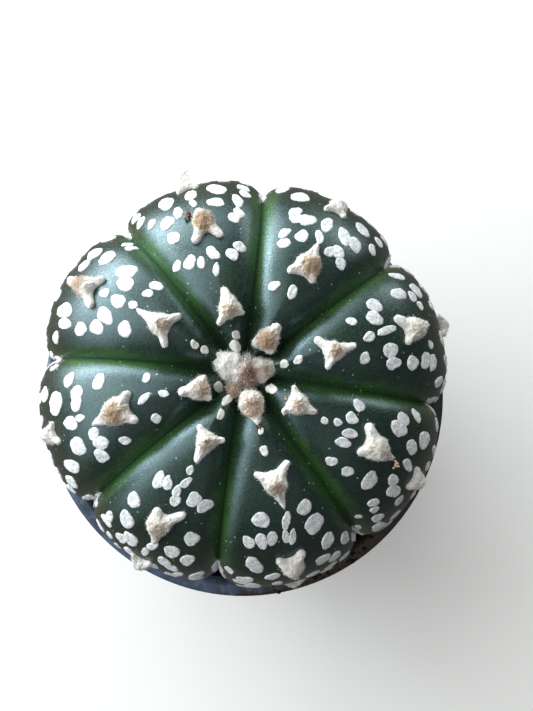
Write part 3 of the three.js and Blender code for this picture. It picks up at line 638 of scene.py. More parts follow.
# Felt flecks: flat pads of short white hairs that grow out of the skin, like stuck-on felt.
# Those above the waist are placed as on the plant; below it they are thinner spread.
FLECK_LIFT = 0.13
FLECK_SINK = 0.3
FLECK_STRETCH = 1.08
FLECK_STEPS = 36
# A pad from its middle out: share of its radius, and of its height
FLECK_RINGS = [(0.3, 1.0), (0.6, 1.0), (0.8, 0.97), (0.91, 0.8), (0.98, 0.45), (1.0, -0.4)]
# The waves in its outline: how many round it, and how deep
FLECK_WAVES = [(2, 0.07), (3, 0.055), (4, 0.03), (6, 0.018), (9, 0.014), (13, 0.01)]
FLECK_FUZZ = 0.5
BELLY_FLECK_ROWS = 3
BELLY_FLECKS_FROM = 33
BELLY_FLECK_STEP = 3.2
BELLY_FLECK_WIDTH = 1.7
WAIST_FLECKS = 3
WAIST_FLECKS_FROM = 31.4
GROOVE_PADS = 4
GROOVE_PADS_FROM = 29.4
GROOVE_PADS_LENGTH = 4.2
# The flecks of each rib: place across and down it, width, and length where one is not round
FLECKS = [
    [[-0.2, 5.3, 0.9, 1.3], [-0.2, 7.3, 0.9, 1.4], [-2.1, 16, 1.4], [2.9, 15.8, 1.1, 1.4],
     [0.4, 17.2, 1.2, 1.8], [0.7, 20, 1, 3.2], [-1.9, 19.9, 2], [-3.6, 20.2, 1.6, 2.1],
     [2.6, 19, 1.9, 2.3], [4.3, 20, 1.9], [-4.1, 23.3, 1.8], [5.1, 24.6, 1.8, 2.4],
     [-4.2, 25.9, 2], [-4.7, 27.5, 2.3, 1.5], [-2.3, 27.3, 1.2, 1], [7.8, 27.2, 1.3, 2.5],
     [3, 27.6, 1.2], [4.4, 26.9, 1.5], [5.2, 28.8, 2.1], [-7.4, 29.8, 1.5, 2.2]],
    [[-0.3, 12.2, 1.2, 1.9], [2.1, 12, 1.3], [3.8, 18.3, 1.5], [-3.9, 19.8, 1.5],
     [-2.9, 20.9, 1.7], [-1.9, 20.1, 1.3, 1.8], [2.2, 20.2, 1.6, 2], [4.4, 19.9, 1.4, 1.7],
     [0.2, 21.3, 1.1, 2.2], [0.1, 23.9, 1.5, 2.9], [-4.3, 23.9, 2.1], [-2.6, 23.8, 1.7, 3],
     [2.6, 23.2, 2, 2.3], [4, 22.9, 1.7], [4.6, 24.1, 1.6, 1.9], [-6.8, 26.1, 1.4],
     [-4.3, 27.8, 2.2], [5.1, 28, 2.3, 2.9], [-7.2, 29.1, 1.6], [8, 30.2, 1.8, 2.4]],
    [[0.1, 3.4, 1.2, 1.6], [-0.3, 4.8, 0.9, 1.3], [-0.1, 13.8, 0.8, 1.9], [-2.7, 15.7, 1.5, 1.8],
     [-4, 16.9, 1.5], [-0.3, 16.2, 1.5, 2], [1.5, 15.4, 1.1, 1.6], [2.9, 16.2, 1.7], [4.7, 16.9, 1.3],
     [4, 20.7, 1.7, 2], [-4.5, 21.5, 1.6], [-5.4, 22.5, 1.5], [-2.8, 24.6, 2.2, 1.9],
     [-5.8, 24.9, 1.5, 2.5], [2.4, 24.4, 1.3, 2.3], [4.2, 23.6, 1.9, 2.3], [6.3, 25.3, 1.4],
     [0.1, 25.3, 0.9, 1.7], [0, 27.5, 1.6, 2.7], [-3.6, 27.9, 2.4, 3.1], [3.5, 27.8, 2.3, 3.1],
     [-7.3, 27, 1.6], [-7.4, 28.7, 1.7], [7.7, 27.6, 1.6], [8.2, 29.9, 1.5, 2.3]],
    [[0, 5.7, 0.9, 1.2], [0.1, 7.2, 0.9, 1.2], [-4.3, 16.4, 1.4, 1.7], [-2.8, 16.3, 1.2],
     [2.6, 16.5, 2.1, 1.8], [-0.6, 16.9, 1, 1.4], [-0.2, 19.1, 1.6, 2.4], [-0.4, 21.6, 1.2, 1.6],
     [-4.2, 21, 2.3, 2.7], [-2.6, 19.7, 2, 2.3], [2.2, 19.9, 1.8, 2.8], [4, 20.6, 1.9],
     [5.1, 23.1, 1.7, 2.1], [-7.9, 24.5, 1.5, 1.2], [-8.3, 25.9, 1.4, 1.1], [-5, 25.5, 2.3],
     [3.7, 27.3, 2.1, 3.4], [5.3, 26.4, 1.5, 2.7], [-5, 28.8, 2.3], [-2.9, 28.6, 1.9],
     [7.5, 28.2, 1.8, 1.4], [-8.1, 30.4, 1.7, 2.4]],
    [[0.7, 3.2, 1.1], [0, 10.6, 0.9, 1.3], [-0.1, 13.2, 0.9, 2], [-2.6, 12.6, 1.3, 1], [2.7, 12.8, 1.2],
     [-4.1, 19.2, 2, 1.8], [4.2, 17.9, 1.1, 1.5], [2.1, 21.3, 1.5, 1.8], [3.5, 21, 1.8, 2.3],
     [5.1, 22, 1.8, 2.1], [-3.7, 22.6, 1.7, 2.2], [-2.3, 22.8, 1.8], [-5.8, 24.1, 1.8],
     [-0.4, 22.6, 1, 1.4], [-0.2, 24.4, 1.6, 2.6], [2.9, 24.6, 2.4, 2.6], [-3.5, 26.8, 2.8, 3.1],
     [5, 27.7, 2, 2.9], [-5.4, 29.8, 1.9, 2.5], [6.9, 30.2, 1.9, 2.3], [-8.8, 28.6, 0.9, 2]],
    [[0, 3.9, 0.9, 1.8], [0.3, 6.1, 0.9, 1.5], [0.5, 14.3, 0.9, 1.3], [0.8, 16, 1, 1.8],
     [0.3, 17.6, 1.1, 1.8], [0.7, 18.8, 1.4], [-2.5, 17.7, 1.6, 2.3], [-1.3, 17.3, 1.3, 1.9],
     [2.8, 17.7, 1.8, 2.1], [4.5, 18.2, 1.8], [-4.3, 22.3, 1.9, 2.2], [5, 23.3, 1.8, 2.4],
     [-4, 25.5, 2.2, 2.6], [3.4, 26.4, 2.3, 2.1], [0.7, 26.9, 1.2, 2.1], [5.8, 27.2, 1.9, 2.2],
     [-6.5, 27.6, 1.3, 1.8], [-6.7, 29, 2.1, 1.5], [-2.4, 28.3, 2.3], [-3.7, 29.6, 1.9],
     [0.1, 29, 1.1, 1.9], [3, 29.2, 1.9], [4.3, 30.2, 1.9, 1.6], [8, 31.5, 1.7, 2.7]],
    [[0.4, 8, 0.7, 0.9], [0.2, 10.5, 1, 1.3], [-2.3, 19.4, 2.1], [3.5, 19.4, 1.9],
     [0.8, 20.2, 1.1, 2.5], [0.3, 22.5, 1, 2], [1.1, 22.8, 1, 2.2], [-2.9, 22.5, 1.6, 2.3],
     [-1.5, 22.3, 1.4, 2.1], [-4.6, 22.6, 1.5, 1.9], [4.3, 22.3, 2.6], [-4.7, 26.6, 2.2, 2.9],
     [5.6, 26, 1.8, 2.7], [8.3, 28.3, 1.5, 2.4], [-8.5, 28.8, 1.3], [-6.6, 30.3, 2.4, 1.8],
     [-2.7, 29.4, 2.2, 1.3], [4.4, 29, 2.4, 1.7], [6.2, 30.1, 1.8]],
    [[0.1, 4, 1.2, 1.5], [0, 12.2, 0.8, 1.1], [0.7, 13.8, 0.9, 1.2], [-1.1, 15.8, 1.2, 2.1],
     [0.3, 15.9, 1.1, 2.2], [2.1, 15.3, 1.5], [4.1, 15.9, 1.5], [-3.9, 16.4, 1.3],
     [-3.9, 18.9, 1.3, 1.6], [-3.4, 22.2, 2.8, 1.9], [4.3, 22.3, 2, 2.6], [5.8, 22.8, 1.6, 2],
     [1, 26.3, 1.2, 2.4], [-1.7, 25.4, 1.5, 2], [-2.8, 26.8, 1.9, 2.4], [3.2, 25.5, 1.8, 2.2],
     [-5.5, 25.4, 1.4], [-6.2, 26.6, 1.3, 1.1], [7.3, 25.3, 1.3, 1.8], [5, 27.6, 2.3],
     [-8.3, 26.4, 0.8], [-6.9, 28.7, 1.6, 2], [-3.4, 29.3, 1.7, 1.4], [-7.7, 30.8, 1.6]],
]

FELT_WHITE = (248, 250, 250)
FELT_GREY = (206, 212, 218)
FELT_FOLD_SHADE = (112, 122, 130)
FELT_ROSE = (206, 186, 174)
FELT_CREAM = (244, 244, 232)


def scatter(first, second):
    """A repeatable number between 0 and 1 for each pair of whole numbers."""
    wave = math.sin(first * 127.1 + second * 311.7 + 7.3) * 43758.5453
    return wave - math.floor(wave)


def fleck_solid(rib, across, along, width, length, key):
    """One pad that follows the skin: a level top, a soft edge and an uneven outline."""
    turn = (scatter(key, 3) - 0.5) * 0.9
    angles = turns_of(FLECK_STEPS)
    shape = 1.04 + sum(
        share * (0.5 + scatter(key, 30 + waves)) * np.cos(waves * angles + 6.28 * scatter(key, 40 + waves))
        for waves, share in FLECK_WAVES
    )
    x, y = 0.5 * width * shape * np.sin(angles), 0.5 * length * shape * np.cos(angles)
    sideways = x * math.cos(turn) - y * math.sin(turn)
    down = x * math.sin(turn) + y * math.cos(turn)
    hollow = 0.3 * scatter(key, 8)
    lift = FLECK_LIFT * (0.8 + 0.5 * scatter(key, 9))
    points = []
    for share, rise in [(0.0, 1.0), *FLECK_RINGS, (0.0, -FLECK_SINK / lift)]:
        count = 1 if share == 0 else FLECK_STEPS
        origin, _, _, out = skin_frame(rib, across + share * sideways[:count], along + share * down[:count])
        dip = hollow * math.exp(-((share / 0.4) ** 2))
        fuzz = FLECK_FUZZ * wander(origin, 0.4, 7)
        height = lift * (rise + (fuzz - dip) * (rise > 0))
        points.append(origin + out * height[..., None])
    return np.concatenate(points), ring_faces(FLECK_STEPS, len(FLECK_RINGS))


flecks = []
for rib, row in enumerate(FLECKS):
    for index, (across_rib, level, width, *rest) in enumerate(row):
        length = rest[0] if rest else width * FLECK_STRETCH
        flecks.append(fleck_solid(rib, across_rib, level, width, length, rib * 40 + index))
for rib, row, hand in itertools.product(range(RIBS), range(BELLY_FLECK_ROWS), (-1, 1)):
    key = 400 + rib * 20 + row * 2 + (hand > 0)
    level = BELLY_FLECKS_FROM + BELLY_FLECK_STEP * (row + 0.6 * scatter(rib, row))
    half_width = along_ridge(level, RIDGE_RADIUS) * HALF_RIB - 2
    across_rib = hand * half_width * (0.35 + 0.6 * scatter(key, 5))
    width = BELLY_FLECK_WIDTH * (0.7 + 0.6 * scatter(key, 6))
    flecks.append(fleck_solid(rib, across_rib, level, width, width * 1.2, key))
# Round the waist more flecks stand close together, and long corky ones line the ends of the grooves
half_width = BODY_RADIUS * HALF_RIB
for rib, hand in itertools.product(range(RIBS), (-1, 1)):
    for row in range(WAIST_FLECKS):
        key = 600 + rib * 20 + row * 2 + (hand > 0)
        across_rib = hand * half_width * (0.14 + 0.26 * row + 0.12 * scatter(key, 5))
        level = WAIST_FLECKS_FROM + 1.6 * scatter(key, 6)
        width, length = 1.2 + scatter(key, 7), 1.3 + scatter(key, 4)
        flecks.append(fleck_solid(rib, across_rib, level, width, length, key))
    for row in range(GROOVE_PADS):
        key = 800 + rib * 20 + row * 2 + (hand > 0)
        across_rib = hand * (half_width - 0.3 - 1.0 * scatter(key, 5))
        level = GROOVE_PADS_FROM + GROOVE_PADS_LENGTH * (row + 0.6 * scatter(key, 6)) / GROOVE_PADS
        flecks.append(fleck_solid(rib, across_rib, level, 0.5 + 0.4 * scatter(key, 7), 1.6, key))

# Matted fibres: fine tangled strands, shared by the felt and the wool
matted = Effect("matted fibres", {"Size": 0.3}, ["Shade", "Height"])
scale = matted.worked("DIVIDE", 1, matted.given["Size"])
strands = matted.cloud(scale, 5, Roughness=0.6, Distortion=0.8)
knots = matted.cells(scale, feature="SMOOTH_F1")["Distance"]
shade = matted.spread(strands, 0.3, 0.7)
matted.fill(matted.gives, {"Shade": shade, "Height": matted.minus(strands, knots)})

felt = Finish("white felt")
fibres = felt.effect(matted, Size=0.5)
# Painted shade: dark lines along the folds of the felt, with a matching dip in its relief
fold_noise = felt.minus(felt.cloud(1.2, 1, Distortion=1.4), 0.5)
shaded_folds = felt.spread(felt.worked("ABSOLUTE", fold_noise, 0), 0, 0.06, 0.45, 0)
felt.coat(felt.spread(fibres["Shade"], 0.1, 0.6, 0.3, 0), FELT_WHITE, FELT_GREY)
felt.coat(shaded_folds, FELT_FOLD_SHADE)
rosy = felt.spread(felt.axes()[2], WAIST_LEVEL - 1, WAIST_LEVEL + 6, 0.8, 0)
felt.coat(rosy, FELT_ROSE)
crown_middle = BODY_MIDDLE + [0, 0, DOME_HEIGHT]
from_crown = felt.node("VectorMath", {0: felt.place, 1: crown_middle}, operation="DISTANCE").outputs[1]
felt.coat(felt.spread(from_crown, 8, 14, 0.7, 0), FELT_CREAM)
felt.shade(
    Roughness=0.95,
    Specular_IOR_Level=0.2,
    Sheen_Weight=0.5,
    Normal=felt.relief(felt.minus(fibres["Height"], shaded_folds), 0.055),
)
fleck_piece = new_piece("felt_flecks", *gathered(flecks), felt)
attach(fleck_piece, "root")


# Areoles: the woolly cushions down the ridge of each rib, each a shield of cream wool with two ears
# towards the crown, a tail down the rib and a tan core. They grow in a 3/8 spiral, youngest inmost.
AREOLES = 32
OLDER_AREOLE_STEP = 2
WEATHERED_FROM = 20
WEATHERED_SIZE = 0.8
YOUNGEST_RIB = 5
RIBS_PER_AREOLE = 3
GROWN_AT = 9
# Each areole's distance from the crown down its rib, youngest first
AREOLE_DISTANCES = [
    2.0, 2.5, 2.4, 4.2, 5.1, 6, 8.2, 8.8, 10.6, 12.2, 12.6, 14.8,
    16.4, 17, 19.9, 20.2, 22.4, 23.8, 24.4, 27.2, 28.2, 28.9, 29.7, 30.6,
]
# Each tuft as read off the plant, across and down the rib: the tip and half width of its left ear,
# right ear and tail, then the middle and half width of its core, then the middle, radius and
# strength of its brown spot, or of a white one below 0. Older tufts take the last line.
TUFTS = [
    [(-0.7, -0.6, 0.3), (0.7, -0.7, 0.3), (0.2, 1.3, 0.4), (0.0, 0.0, 0.85), (0.1, 0.0, 1.2, 0.9)],
    [(-1.9, -0.9, 0.5), (1.4, -1.1, 0.5), (0.2, 3.4, 0.35), (-0.3, -0.4, 1.35), (-0.9, 0.3, 1.1, 0.6)],
    [(-1.9, -1.1, 0.5), (1.9, -1.2, 0.5), (-0.1, 3.1, 0.4), (0.0, -0.5, 1.6), (-0.2, -0.4, 1.8, -0.9)],
    [(-0.6, -1.9, 0.5), (0.9, -1.5, 0.5), (0.3, 3.4, 0.4), (0.1, -0.2, 1.6), (0.3, 0.5, 1.6, 0.75)],
    [(-1.9, -1.2, 0.5), (0.9, -1.4, 0.5), (-0.7, 2.6, 0.75), (-0.5, 0.0, 1.4), (-0.5, -0.1, 1.5, 0.9)],
    [(-1.2, -1.1, 0.45), (2.1, -1.1, 0.45), (0.1, 2.7, 0.6), (0.4, 0.0, 1.25), (0.4, -0.3, 1.1, 0.7)],
    [(-1.8, -1.2, 0.4), (2.0, -1.7, 0.35), (0.4, 2.6, 0.4), (0.1, 0.0, 1.2), (0.0, 0.0, 0.8, 0.7)],
    [(-2.0, -1.5, 0.4), (1.6, -2.1, 0.4), (-0.3, 2.5, 0.55), (-0.4, -0.3, 1.25), (-0.4, -0.9, 1.2, 0.6)],
    [(-1.6, -1.9, 0.4), (2.3, -1.8, 0.4), (0.5, 2.5, 0.5), (0.35, -0.5, 1.15), (0.5, -0.3, 0.9, 0.6)],
    [(-2.3, -1.6, 0.4), (2.0, -2.2, 0.5), (-0.1, 2.8, 0.45), (-0.25, -0.3, 1.15), (-0.2, -0.2, 0.8, 0.9)],
    [(-2.5, -2.1, 0.4), (2.2, -2.4, 0.4), (-0.4, 3.5, 0.25), (-0.15, -0.25, 1.3), (-0.2, -1.1, 1.0, 0.6)],
    [(-1.8, -1.9, 0.4), (2.8, -2.4, 0.4), (0.9, 3.6, 0.2), (0.45, -0.1, 1.45), (0.4, 0.5, 1.1, 0.7)],
    [(-2.1, -1.8, 0.45), (1.6, -2.2, 0.5), (0.1, 3.6, 0.3), (-0.35, 0.0, 1.6), (-0.8, -0.3, 1.5, 0.9)],
    [(-1.7, -2.3, 0.5), (2.3, -2.3, 0.5), (0.95, 3.9, 0.25), (0.25, 0.2, 1.75), (0.5, 0.2, 1.6, 0.9)],
    [(-1.35, -1.9, 0.6), (2.6, -2.7, 0.6), (0.5, 3.1, 0.4), (0.5, 0.1, 1.6), (0.4, 2.2, 1.0, 0.7)],
    [(-2.2, -2.1, 0.5), (1.6, -2.0, 0.6), (0.0, 3.15, 0.6), (-0.35, 0.9, 1.45), (-0.3, 0.4, 1.6, 1.0)],
    [(-1.1, -1.6, 0.6), (2.6, -2.9, 0.5), (0.8, 3.5, 0.4), (0.1, 0.5, 1.45), (0.1, 0.7, 1.3, 0.6)],
    [(-1.6, -1.4, 0.55), (2.2, -2.2, 0.6), (0.5, 3.4, 0.5), (0.2, 0.5, 1.5), (0.0, 0.2, 1.2, 0.2)],
    [(-2.4, -1.7, 0.55), (1.9, -2.2, 0.6), (-0.2, 4.4, 0.7), (-0.25, 0.5, 1.4), (0.0, 1.7, 1.7, 1.3)],
    [(-1.8, -1.5, 0.5), (1.9, -2.0, 0.55), (0.2, 3.2, 0.45), (0.1, 0.4, 1.4), (0.1, 0.8, 1.3, -0.8)],
]
LOBE_ROOTS = (0.6, 0.6, 0.82)
LOBE_BLEND = 0.7
LOBE_THINNING = 0.4
WOOL_THICKNESS = 0.95
WOOL_SHOULDER = 0.55
CORE_SWELL = 0.75
EAR_WHITENESS = 0.5
TUFT_STEPS = 104
TUFT_RINGS = 15
LONGEST_LOBE = 5.5
HAIRS_PER_TUFT = 420
TUFT_SEED = 700
HAIR_POINTS = 7
CROWN_RADIUS = 2.1
CROWN_HEIGHT = 3.1
CROWN_HAIRS = 1500
CROWN_SEED = 99
CROWN_LEVELLING = 1.6
STRANDY_TUFT = 2
STRANDS_ELSEWHERE = 0.3
MAUVE_SPOT = (0.9, -0.3)
MAUVE_RADIUS = 1.35
OLD_MAUVE = 0.05

WOOL_CREAM = (240, 235, 226)
WOOL_TAN = (178, 150, 122)
WOOL_WHITE = (250, 248, 244)
WOOL_SHADE = (150, 132, 114)
CROWN_MAUVE = (150, 94, 70)
CROWN_DARK = (116, 48, 38)
CROWN_LILAC = (234, 220, 214)


def tuft_depth(x, y, lobes, core):
    """How far a place lies inside a tuft's outline; below 0 it is outside."""
    core_x, core_y, core_width = core
    depth = core_width - np.hypot(x - core_x, y - core_y)
    for tip_x, tip_y, tip_width, root_share in lobes:
        way = np.array([tip_x - core_x, tip_y - core_y])
        full = math.hypot(*way)
        way /= full
        length = full - tip_width
        ahead = (x - core_x) * way[0] + (y - core_y) * way[1]
        share = np.clip(ahead / length, 0, 1)
        root_width = root_share * core_width
        width = root_width + (tip_width - root_width) * share
        gap = np.hypot(ahead - share * length, (x - core_x) * way[1] - (y - core_y) * way[0])
        near = np.clip(LOBE_BLEND - np.abs(depth - (width - gap)), 0, None) / LOBE_BLEND
        depth = np.maximum(depth, width - gap) + near**2 * LOBE_BLEND / 4
    return depth


def tuft_height(x, y, lobes, core, size, thinning):
    """Height of a tuft over the skin: a round-edged shield with a swollen core and thinner lobes."""
    inside = np.clip(tuft_depth(x, y, lobes, core) / WOOL_SHOULDER, 0, 1)
    shield = WOOL_THICKNESS * np.sqrt(1 - (1 - inside) ** 2)
    away = np.hypot(x - core[0], y - core[1]) / core[2]
    thin = 1 - thinning * np.clip(away - 1, 0, 1)
    return size * (thin * shield + CORE_SWELL * np.exp(-1.6 * away**2) * inside**0.5)


def tuft_outline(angles, lobes, core):
    """How far the tuft reaches from its core in each direction."""
    radii = np.linspace(0, LONGEST_LOBE, 180)[None, :]
    x = core[0] + radii * np.sin(angles)[:, None]
    y = core[1] + radii * np.cos(angles)[:, None]
    reach = np.where(tuft_depth(x, y, lobes, core) > 0, radii, 0).max(1)
    return 0.2 * np.roll(reach, 1) + 0.6 * reach + 0.2 * np.roll(reach, -1)


def cushion(top, skirt_share, skirt_drop, foot):
    """A cushion's points: its top in rings, a skirt sunk in the skin, and a foot."""
    skirt = top[-1] * [skirt_share, skirt_share, 0] - [0, 0, skirt_drop]
    return np.concatenate([top[0, :1], top[1:].reshape(-1, 3), skirt, [foot]])


def brushed(flat, spread, lengthways):
    """Places for streaks that run out from the middle of a cushion."""
    turn = np.arctan2(flat[..., 0], flat[..., 1])
    return np.stack([spread * np.cos(turn), spread * np.sin(turn), lengthways], -1)


def hair_roots(chance, top, count):
    """Places for hairs on a cushion, and each one's share of the way out."""
    outward = np.sqrt(chance.random(count))
    step = chance.integers(0, TUFT_STEPS, count)
    return top[np.clip((outward * TUFT_RINGS).astype(int), 1, TUFT_RINGS), step], outward


def hair_solids(roots, ways, lengths, widths, sag):
    """Thin three-sided hairs, each with one bend, tapering to a point."""
    beside = unit(np.cross(ways, np.roll(ways, 1, axis=1) + [0.3, 0.1, 0.7]))
    over = np.cross(ways, beside)
    turns = turns_of(3)
    ring = beside[:, None] * np.cos(turns)[:, None] + over[:, None] * np.sin(turns)[:, None]
    lengths, widths = lengths[:, None, None], widths[:, None, None]
    base = roots[:, None] + ring * widths
    middle = roots[:, None] + ways[:, None] * lengths * 0.55 + sag[:, None] * 0.3 + ring * widths * 0.8
    tip = roots[:, None] + ways[:, None] * lengths + sag[:, None]
    points = np.concatenate([base, middle, tip], 1)
    sides = [(0, 1, 4), (0, 4, 3), (1, 2, 5), (1, 5, 4), (2, 0, 3), (2, 3, 5)]
    pattern = np.array([(0, 2, 1), *sides, (3, 4, 6), (4, 5, 6), (5, 3, 6)])
    faces = pattern[None] + HAIR_POINTS * np.arange(len(roots))[:, None, None]
    return points.reshape(-1, 3), faces.reshape(-1, 3).tolist()


def away_from(middle, points):
    """How far points lie from a middle, seen from above."""
    return np.hypot(points[:, 0] - middle[0], points[:, 1] - middle[1])


def brown_at(points, spot, core):
    """How brown the wool is at points of a tuft: most in its spot, and below 0 on the white ears."""
    *middle, radius, strength = spot
    away = away_from(middle, points) / radius
    past_core = away_from(core, points) / core[2] - 0.9
    return strength * np.exp(-0.8 * away**4) - EAR_WHITENESS * np.clip(past_core, 0, 1)


def mauve_at(points):
    """How mauve the wool is at points measured from the crown."""
    return np.exp(-0.5 * (away_from(MAUVE_SPOT, points) / MAUVE_RADIUS) ** 4)


tufts, tuft_marks, hairs, hair_marks = [], [], [], []
angles = turns_of(TUFT_STEPS)
shares = np.sin(np.linspace(0, 1, TUFT_RINGS + 1) * np.pi / 2)[:, None]
cushion_faces = ring_faces(TUFT_STEPS, TUFT_RINGS + 1)
last_read = len(AREOLE_DISTANCES) - 1
for number in range(AREOLES):
    chance = np.random.default_rng(TUFT_SEED + number)
    rib = (YOUNGEST_RIB + number * RIBS_PER_AREOLE) % RIBS
    level = AREOLE_DISTANCES[min(number, last_read)] + OLDER_AREOLE_STEP * max(0, number - last_read)
    worn = 1 if number < WEATHERED_FROM else WEATHERED_SIZE
    size = worn * min(1, 0.62 + 0.38 * level / GROWN_AT)
    *lobes, core, spot = TUFTS[min(number, len(TUFTS) - 1)]
    core = worn * np.array(core)
    lobes = [(*(worn * np.array(lobe)), root) for lobe, root in zip(lobes, LOBE_ROOTS)]
    origin, sideways, down_way, out = skin_frame(rib, 0.3 * (scatter(number, 1) - 0.3), level, 0.6)
    lean = np.array([0, 0, 0.6]) + down_way * [1, 1, 0]
    out = unit(out + CROWN_LEVELLING * math.exp(-level / 3) * lean)
    axes = np.stack([sideways, np.cross(sideways, out), out])
    reach = tuft_outline(angles, lobes, core)
    x = core[0] + shares * (reach * np.sin(angles))
    y = core[1] + shares * (reach * np.cos(angles))
    z = tuft_height(x, y, lobes, core, size, LOBE_THINNING * min(1, max(0, level / 8 - 0.75)))
    top = np.stack([x, y, z], -1)
    soft = np.clip(z / 0.6, 0.25, 1)
    locks = brushed(np.stack([x - core[0], y - core[1]], -1), 3.5, 0.6 * np.hypot(x, y) + number)
    top += soft[..., None] * (0.12 * wander_3d(top + number, 0.8) + 0.13 * wander_3d(top + number, 0.35))
    top[..., 2] += soft * (0.04 + 0.04 * math.exp(-level / 2)) * wander(locks, 0.4)
    solid = cushion(top, 0.95, 0.7, (core[0], core[1], -1.4))
    tufts.append((origin + solid @ axes, cushion_faces))
    old = OLD_MAUVE * (number > WEATHERED_FROM - 2)
    mauve = old + 0.7 * mauve_at(origin + solid @ axes - crown_point)
    streak = brushed(solid[:, :2] - core[:2], 7, 0.8 * away_from(core, solid) + 9 * number)
    tuft_marks.append((brown_at(solid, spot, core), mauve, streak))

    roots, outward = hair_roots(chance, top, HAIRS_PER_TUFT)
    ways = unit(roots - [core[0], core[1], 0]) + [0, 0, 0.25] + 0.4 * chance.normal(size=roots.shape)
    ways = unit(ways + [0, 0.12, 0])
    shaggy = 1 + 1.1 * math.exp(-level / 2.5)
    lengths = shaggy * chance.uniform(0.1, 0.34, HAIRS_PER_TUFT) * (0.8 + 0.4 * outward)
    widths = shaggy * chance.uniform(0.014, 0.024, HAIRS_PER_TUFT)
    sag = 0.22 * lengths[:, None] * chance.normal(size=roots.shape)
    points, faces = hair_solids(roots - 0.05 * ways, ways, lengths, widths, sag)
    hairs.append((origin + points @ axes, faces))
    place = origin + roots @ axes - crown_point
    near_crown = np.linalg.norm(place, axis=1)
    strandy = 1 if number == STRANDY_TUFT else STRANDS_ELSEWHERE
    mauve = mauve_at(place) + 0.25 * strandy * np.exp(-((near_crown / 3.2) ** 4))
    lilac = 0.85 * strandy * (1 - mauve_at(place)) * (near_crown < 3.5)
    lilac = lilac * (chance.random(HAIRS_PER_TUFT) < 0.72)
    tone = lilac + (1 - lilac) * chance.random(HAIRS_PER_TUFT)
    hair_marks.append((brown_at(roots, spot, core), np.clip(mauve + old, 0, 0.9), tone))

# The crown's own wool: a low mound where the youngest areoles crowd together
chance = np.random.default_rng(CROWN_SEED)
reach = CROWN_RADIUS * (1 + 0.12 * np.sin(3 * angles + 0.6) + 0.06 * np.sin(7 * angles))
x = shares * (reach * np.sin(angles))
y = shares * (reach * np.cos(angles))
top = np.stack([x, y, CROWN_HEIGHT * (1 - 0.75 * shares**2) * np.ones_like(x)], -1)
top += 0.16 * wander_3d(top, 0.7, 4) + 0.08 * wander_3d(top, 0.25, 4)
mound = cushion(top, 0.9, 0.6, (0, 0, -1))
tufts.append((crown_point + mound, [face[::-1] for face in cushion_faces]))
streak = brushed(mound, 3, away_from((0, 0), mound))
tuft_marks.append((np.full(len(mound), -0.2), mauve_at(mound), streak))
roots, outward = hair_roots(chance, top, CROWN_HAIRS)
ways = unit(roots * [1, 1, 0.3] + [0, 0, 0.7] + 0.7 * chance.normal(size=roots.shape))
lengths = chance.uniform(0.3, 0.65, CROWN_HAIRS) + 0.8 * (chance.random(CROWN_HAIRS) > 0.95)
widths = chance.uniform(0.018, 0.034, CROWN_HAIRS)
sag = 0.3 * lengths[:, None] * chance.normal(size=roots.shape)
points, faces = hair_solids(roots - 0.05 * ways, ways, lengths, widths, sag)
hairs.append((crown_point + points, faces))
mauve = np.clip(mauve_at(roots) + 0.25 * chance.normal(size=CROWN_HAIRS), 0, 1)
hair_marks.append((np.full(CROWN_HAIRS, 0.1), mauve, chance.random(CROWN_HAIRS)))


def gathered_marks(names, marks, repeats=1):
    """The marks of many solids as one list for each name."""
    return {name: np.repeat(np.concatenate(some), repeats, 0) for name, some in zip(names, zip(*marks))}


wool = Finish("areole wool")
brown = wool.mark("tan")
fibres = wool.effect(matted, Place=wool.mark("streak", "Vector"), Size=0.9)
pile = wool.effect(matted, Size=0.3)
patchy = wool.plus(brown, wool.spread(pile["Shade"], 0, 1, -0.25, 0.25))
wool.coat(wool.spread(patchy, 0.1, 0.9), WOOL_CREAM, WOOL_TAN)
wool.coat(wool.spread(brown, -0.4, 0, 1, 0), WOOL_WHITE)
wool.coat(wool.mark("mauve"), CROWN_MAUVE)
wool.coat(wool.spread(fibres["Shade"], 0.2, 0.8, 0.25, 0), WOOL_SHADE, way="MULTIPLY")
wool.shade(
    Roughness=0.95,
    Specular_IOR_Level=0.2,
    Sheen_Weight=0.5,
    Subsurface_Weight=0.4,
    Subsurface_Radius=(0.8 * MM, 0.7 * MM, 0.6 * MM),
    Normal=wool.relief(wool.plus(pile["Height"], wool.times(fibres["Height"], 0.4)), 0.11),
)
tuft_marks = gathered_marks(("tan", "mauve", "streak"), tuft_marks)
wool_piece = new_piece("areole_wool", *gathered(tufts), wool, tuft_marks)

hair = Finish("wool hairs")
tone = hair.mark("tone")
hair.coat(hair.spread(hair.mark("tan"), 0.1, 1), WOOL_CREAM, WOOL_TAN)
hair.coat(hair.spread(tone, 0.3, 1, 0, 0.6), WOOL_WHITE)
hair.coat(hair.mark("mauve"), hair.mixed(tone, CROWN_DARK, CROWN_LILAC))
hair.shade(Roughness=0.8, Specular_IOR_Level=0.3, Sheen_Weight=0.3)
hair_marks = gathered_marks(("tan", "mauve", "tone"), hair_marks, HAIR_POINTS)
hair_piece = new_piece("areole_hairs", *gathered(hairs), hair, hair_marks)
for piece in (wool_piece, hair_piece):
    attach(piece, "root")


# Dried scraps: shrivelled red-brown ends of old flowers and spines, caught in the wool of a few
# tufts or stuck beside a groove. Each is a crumple of thin dry skin, some paler, and three of the
# tufts hold thin bent threads.
DRIED_LUMPS = 5
SCRAP_SEED = 17
THREAD_WIDTH = 0.05
# Each scrap: its rib, its place across and down it, its size, and how pale it is
DRIED = [
    (2, 1.3, 23.0, 0.62, 0), (6, 0.3, 7.4, 0.26, 0), (7, 0.2, 23.7, 0.6, 1), (7, -0.1, 6.5, 0.24, 0.8),
    (1, -3.9, 10.4, 0.14, 0), (1, -7.0, 18.8, 0.12, 0), (3, 4.0, 11.6, 0.12, 0),
]
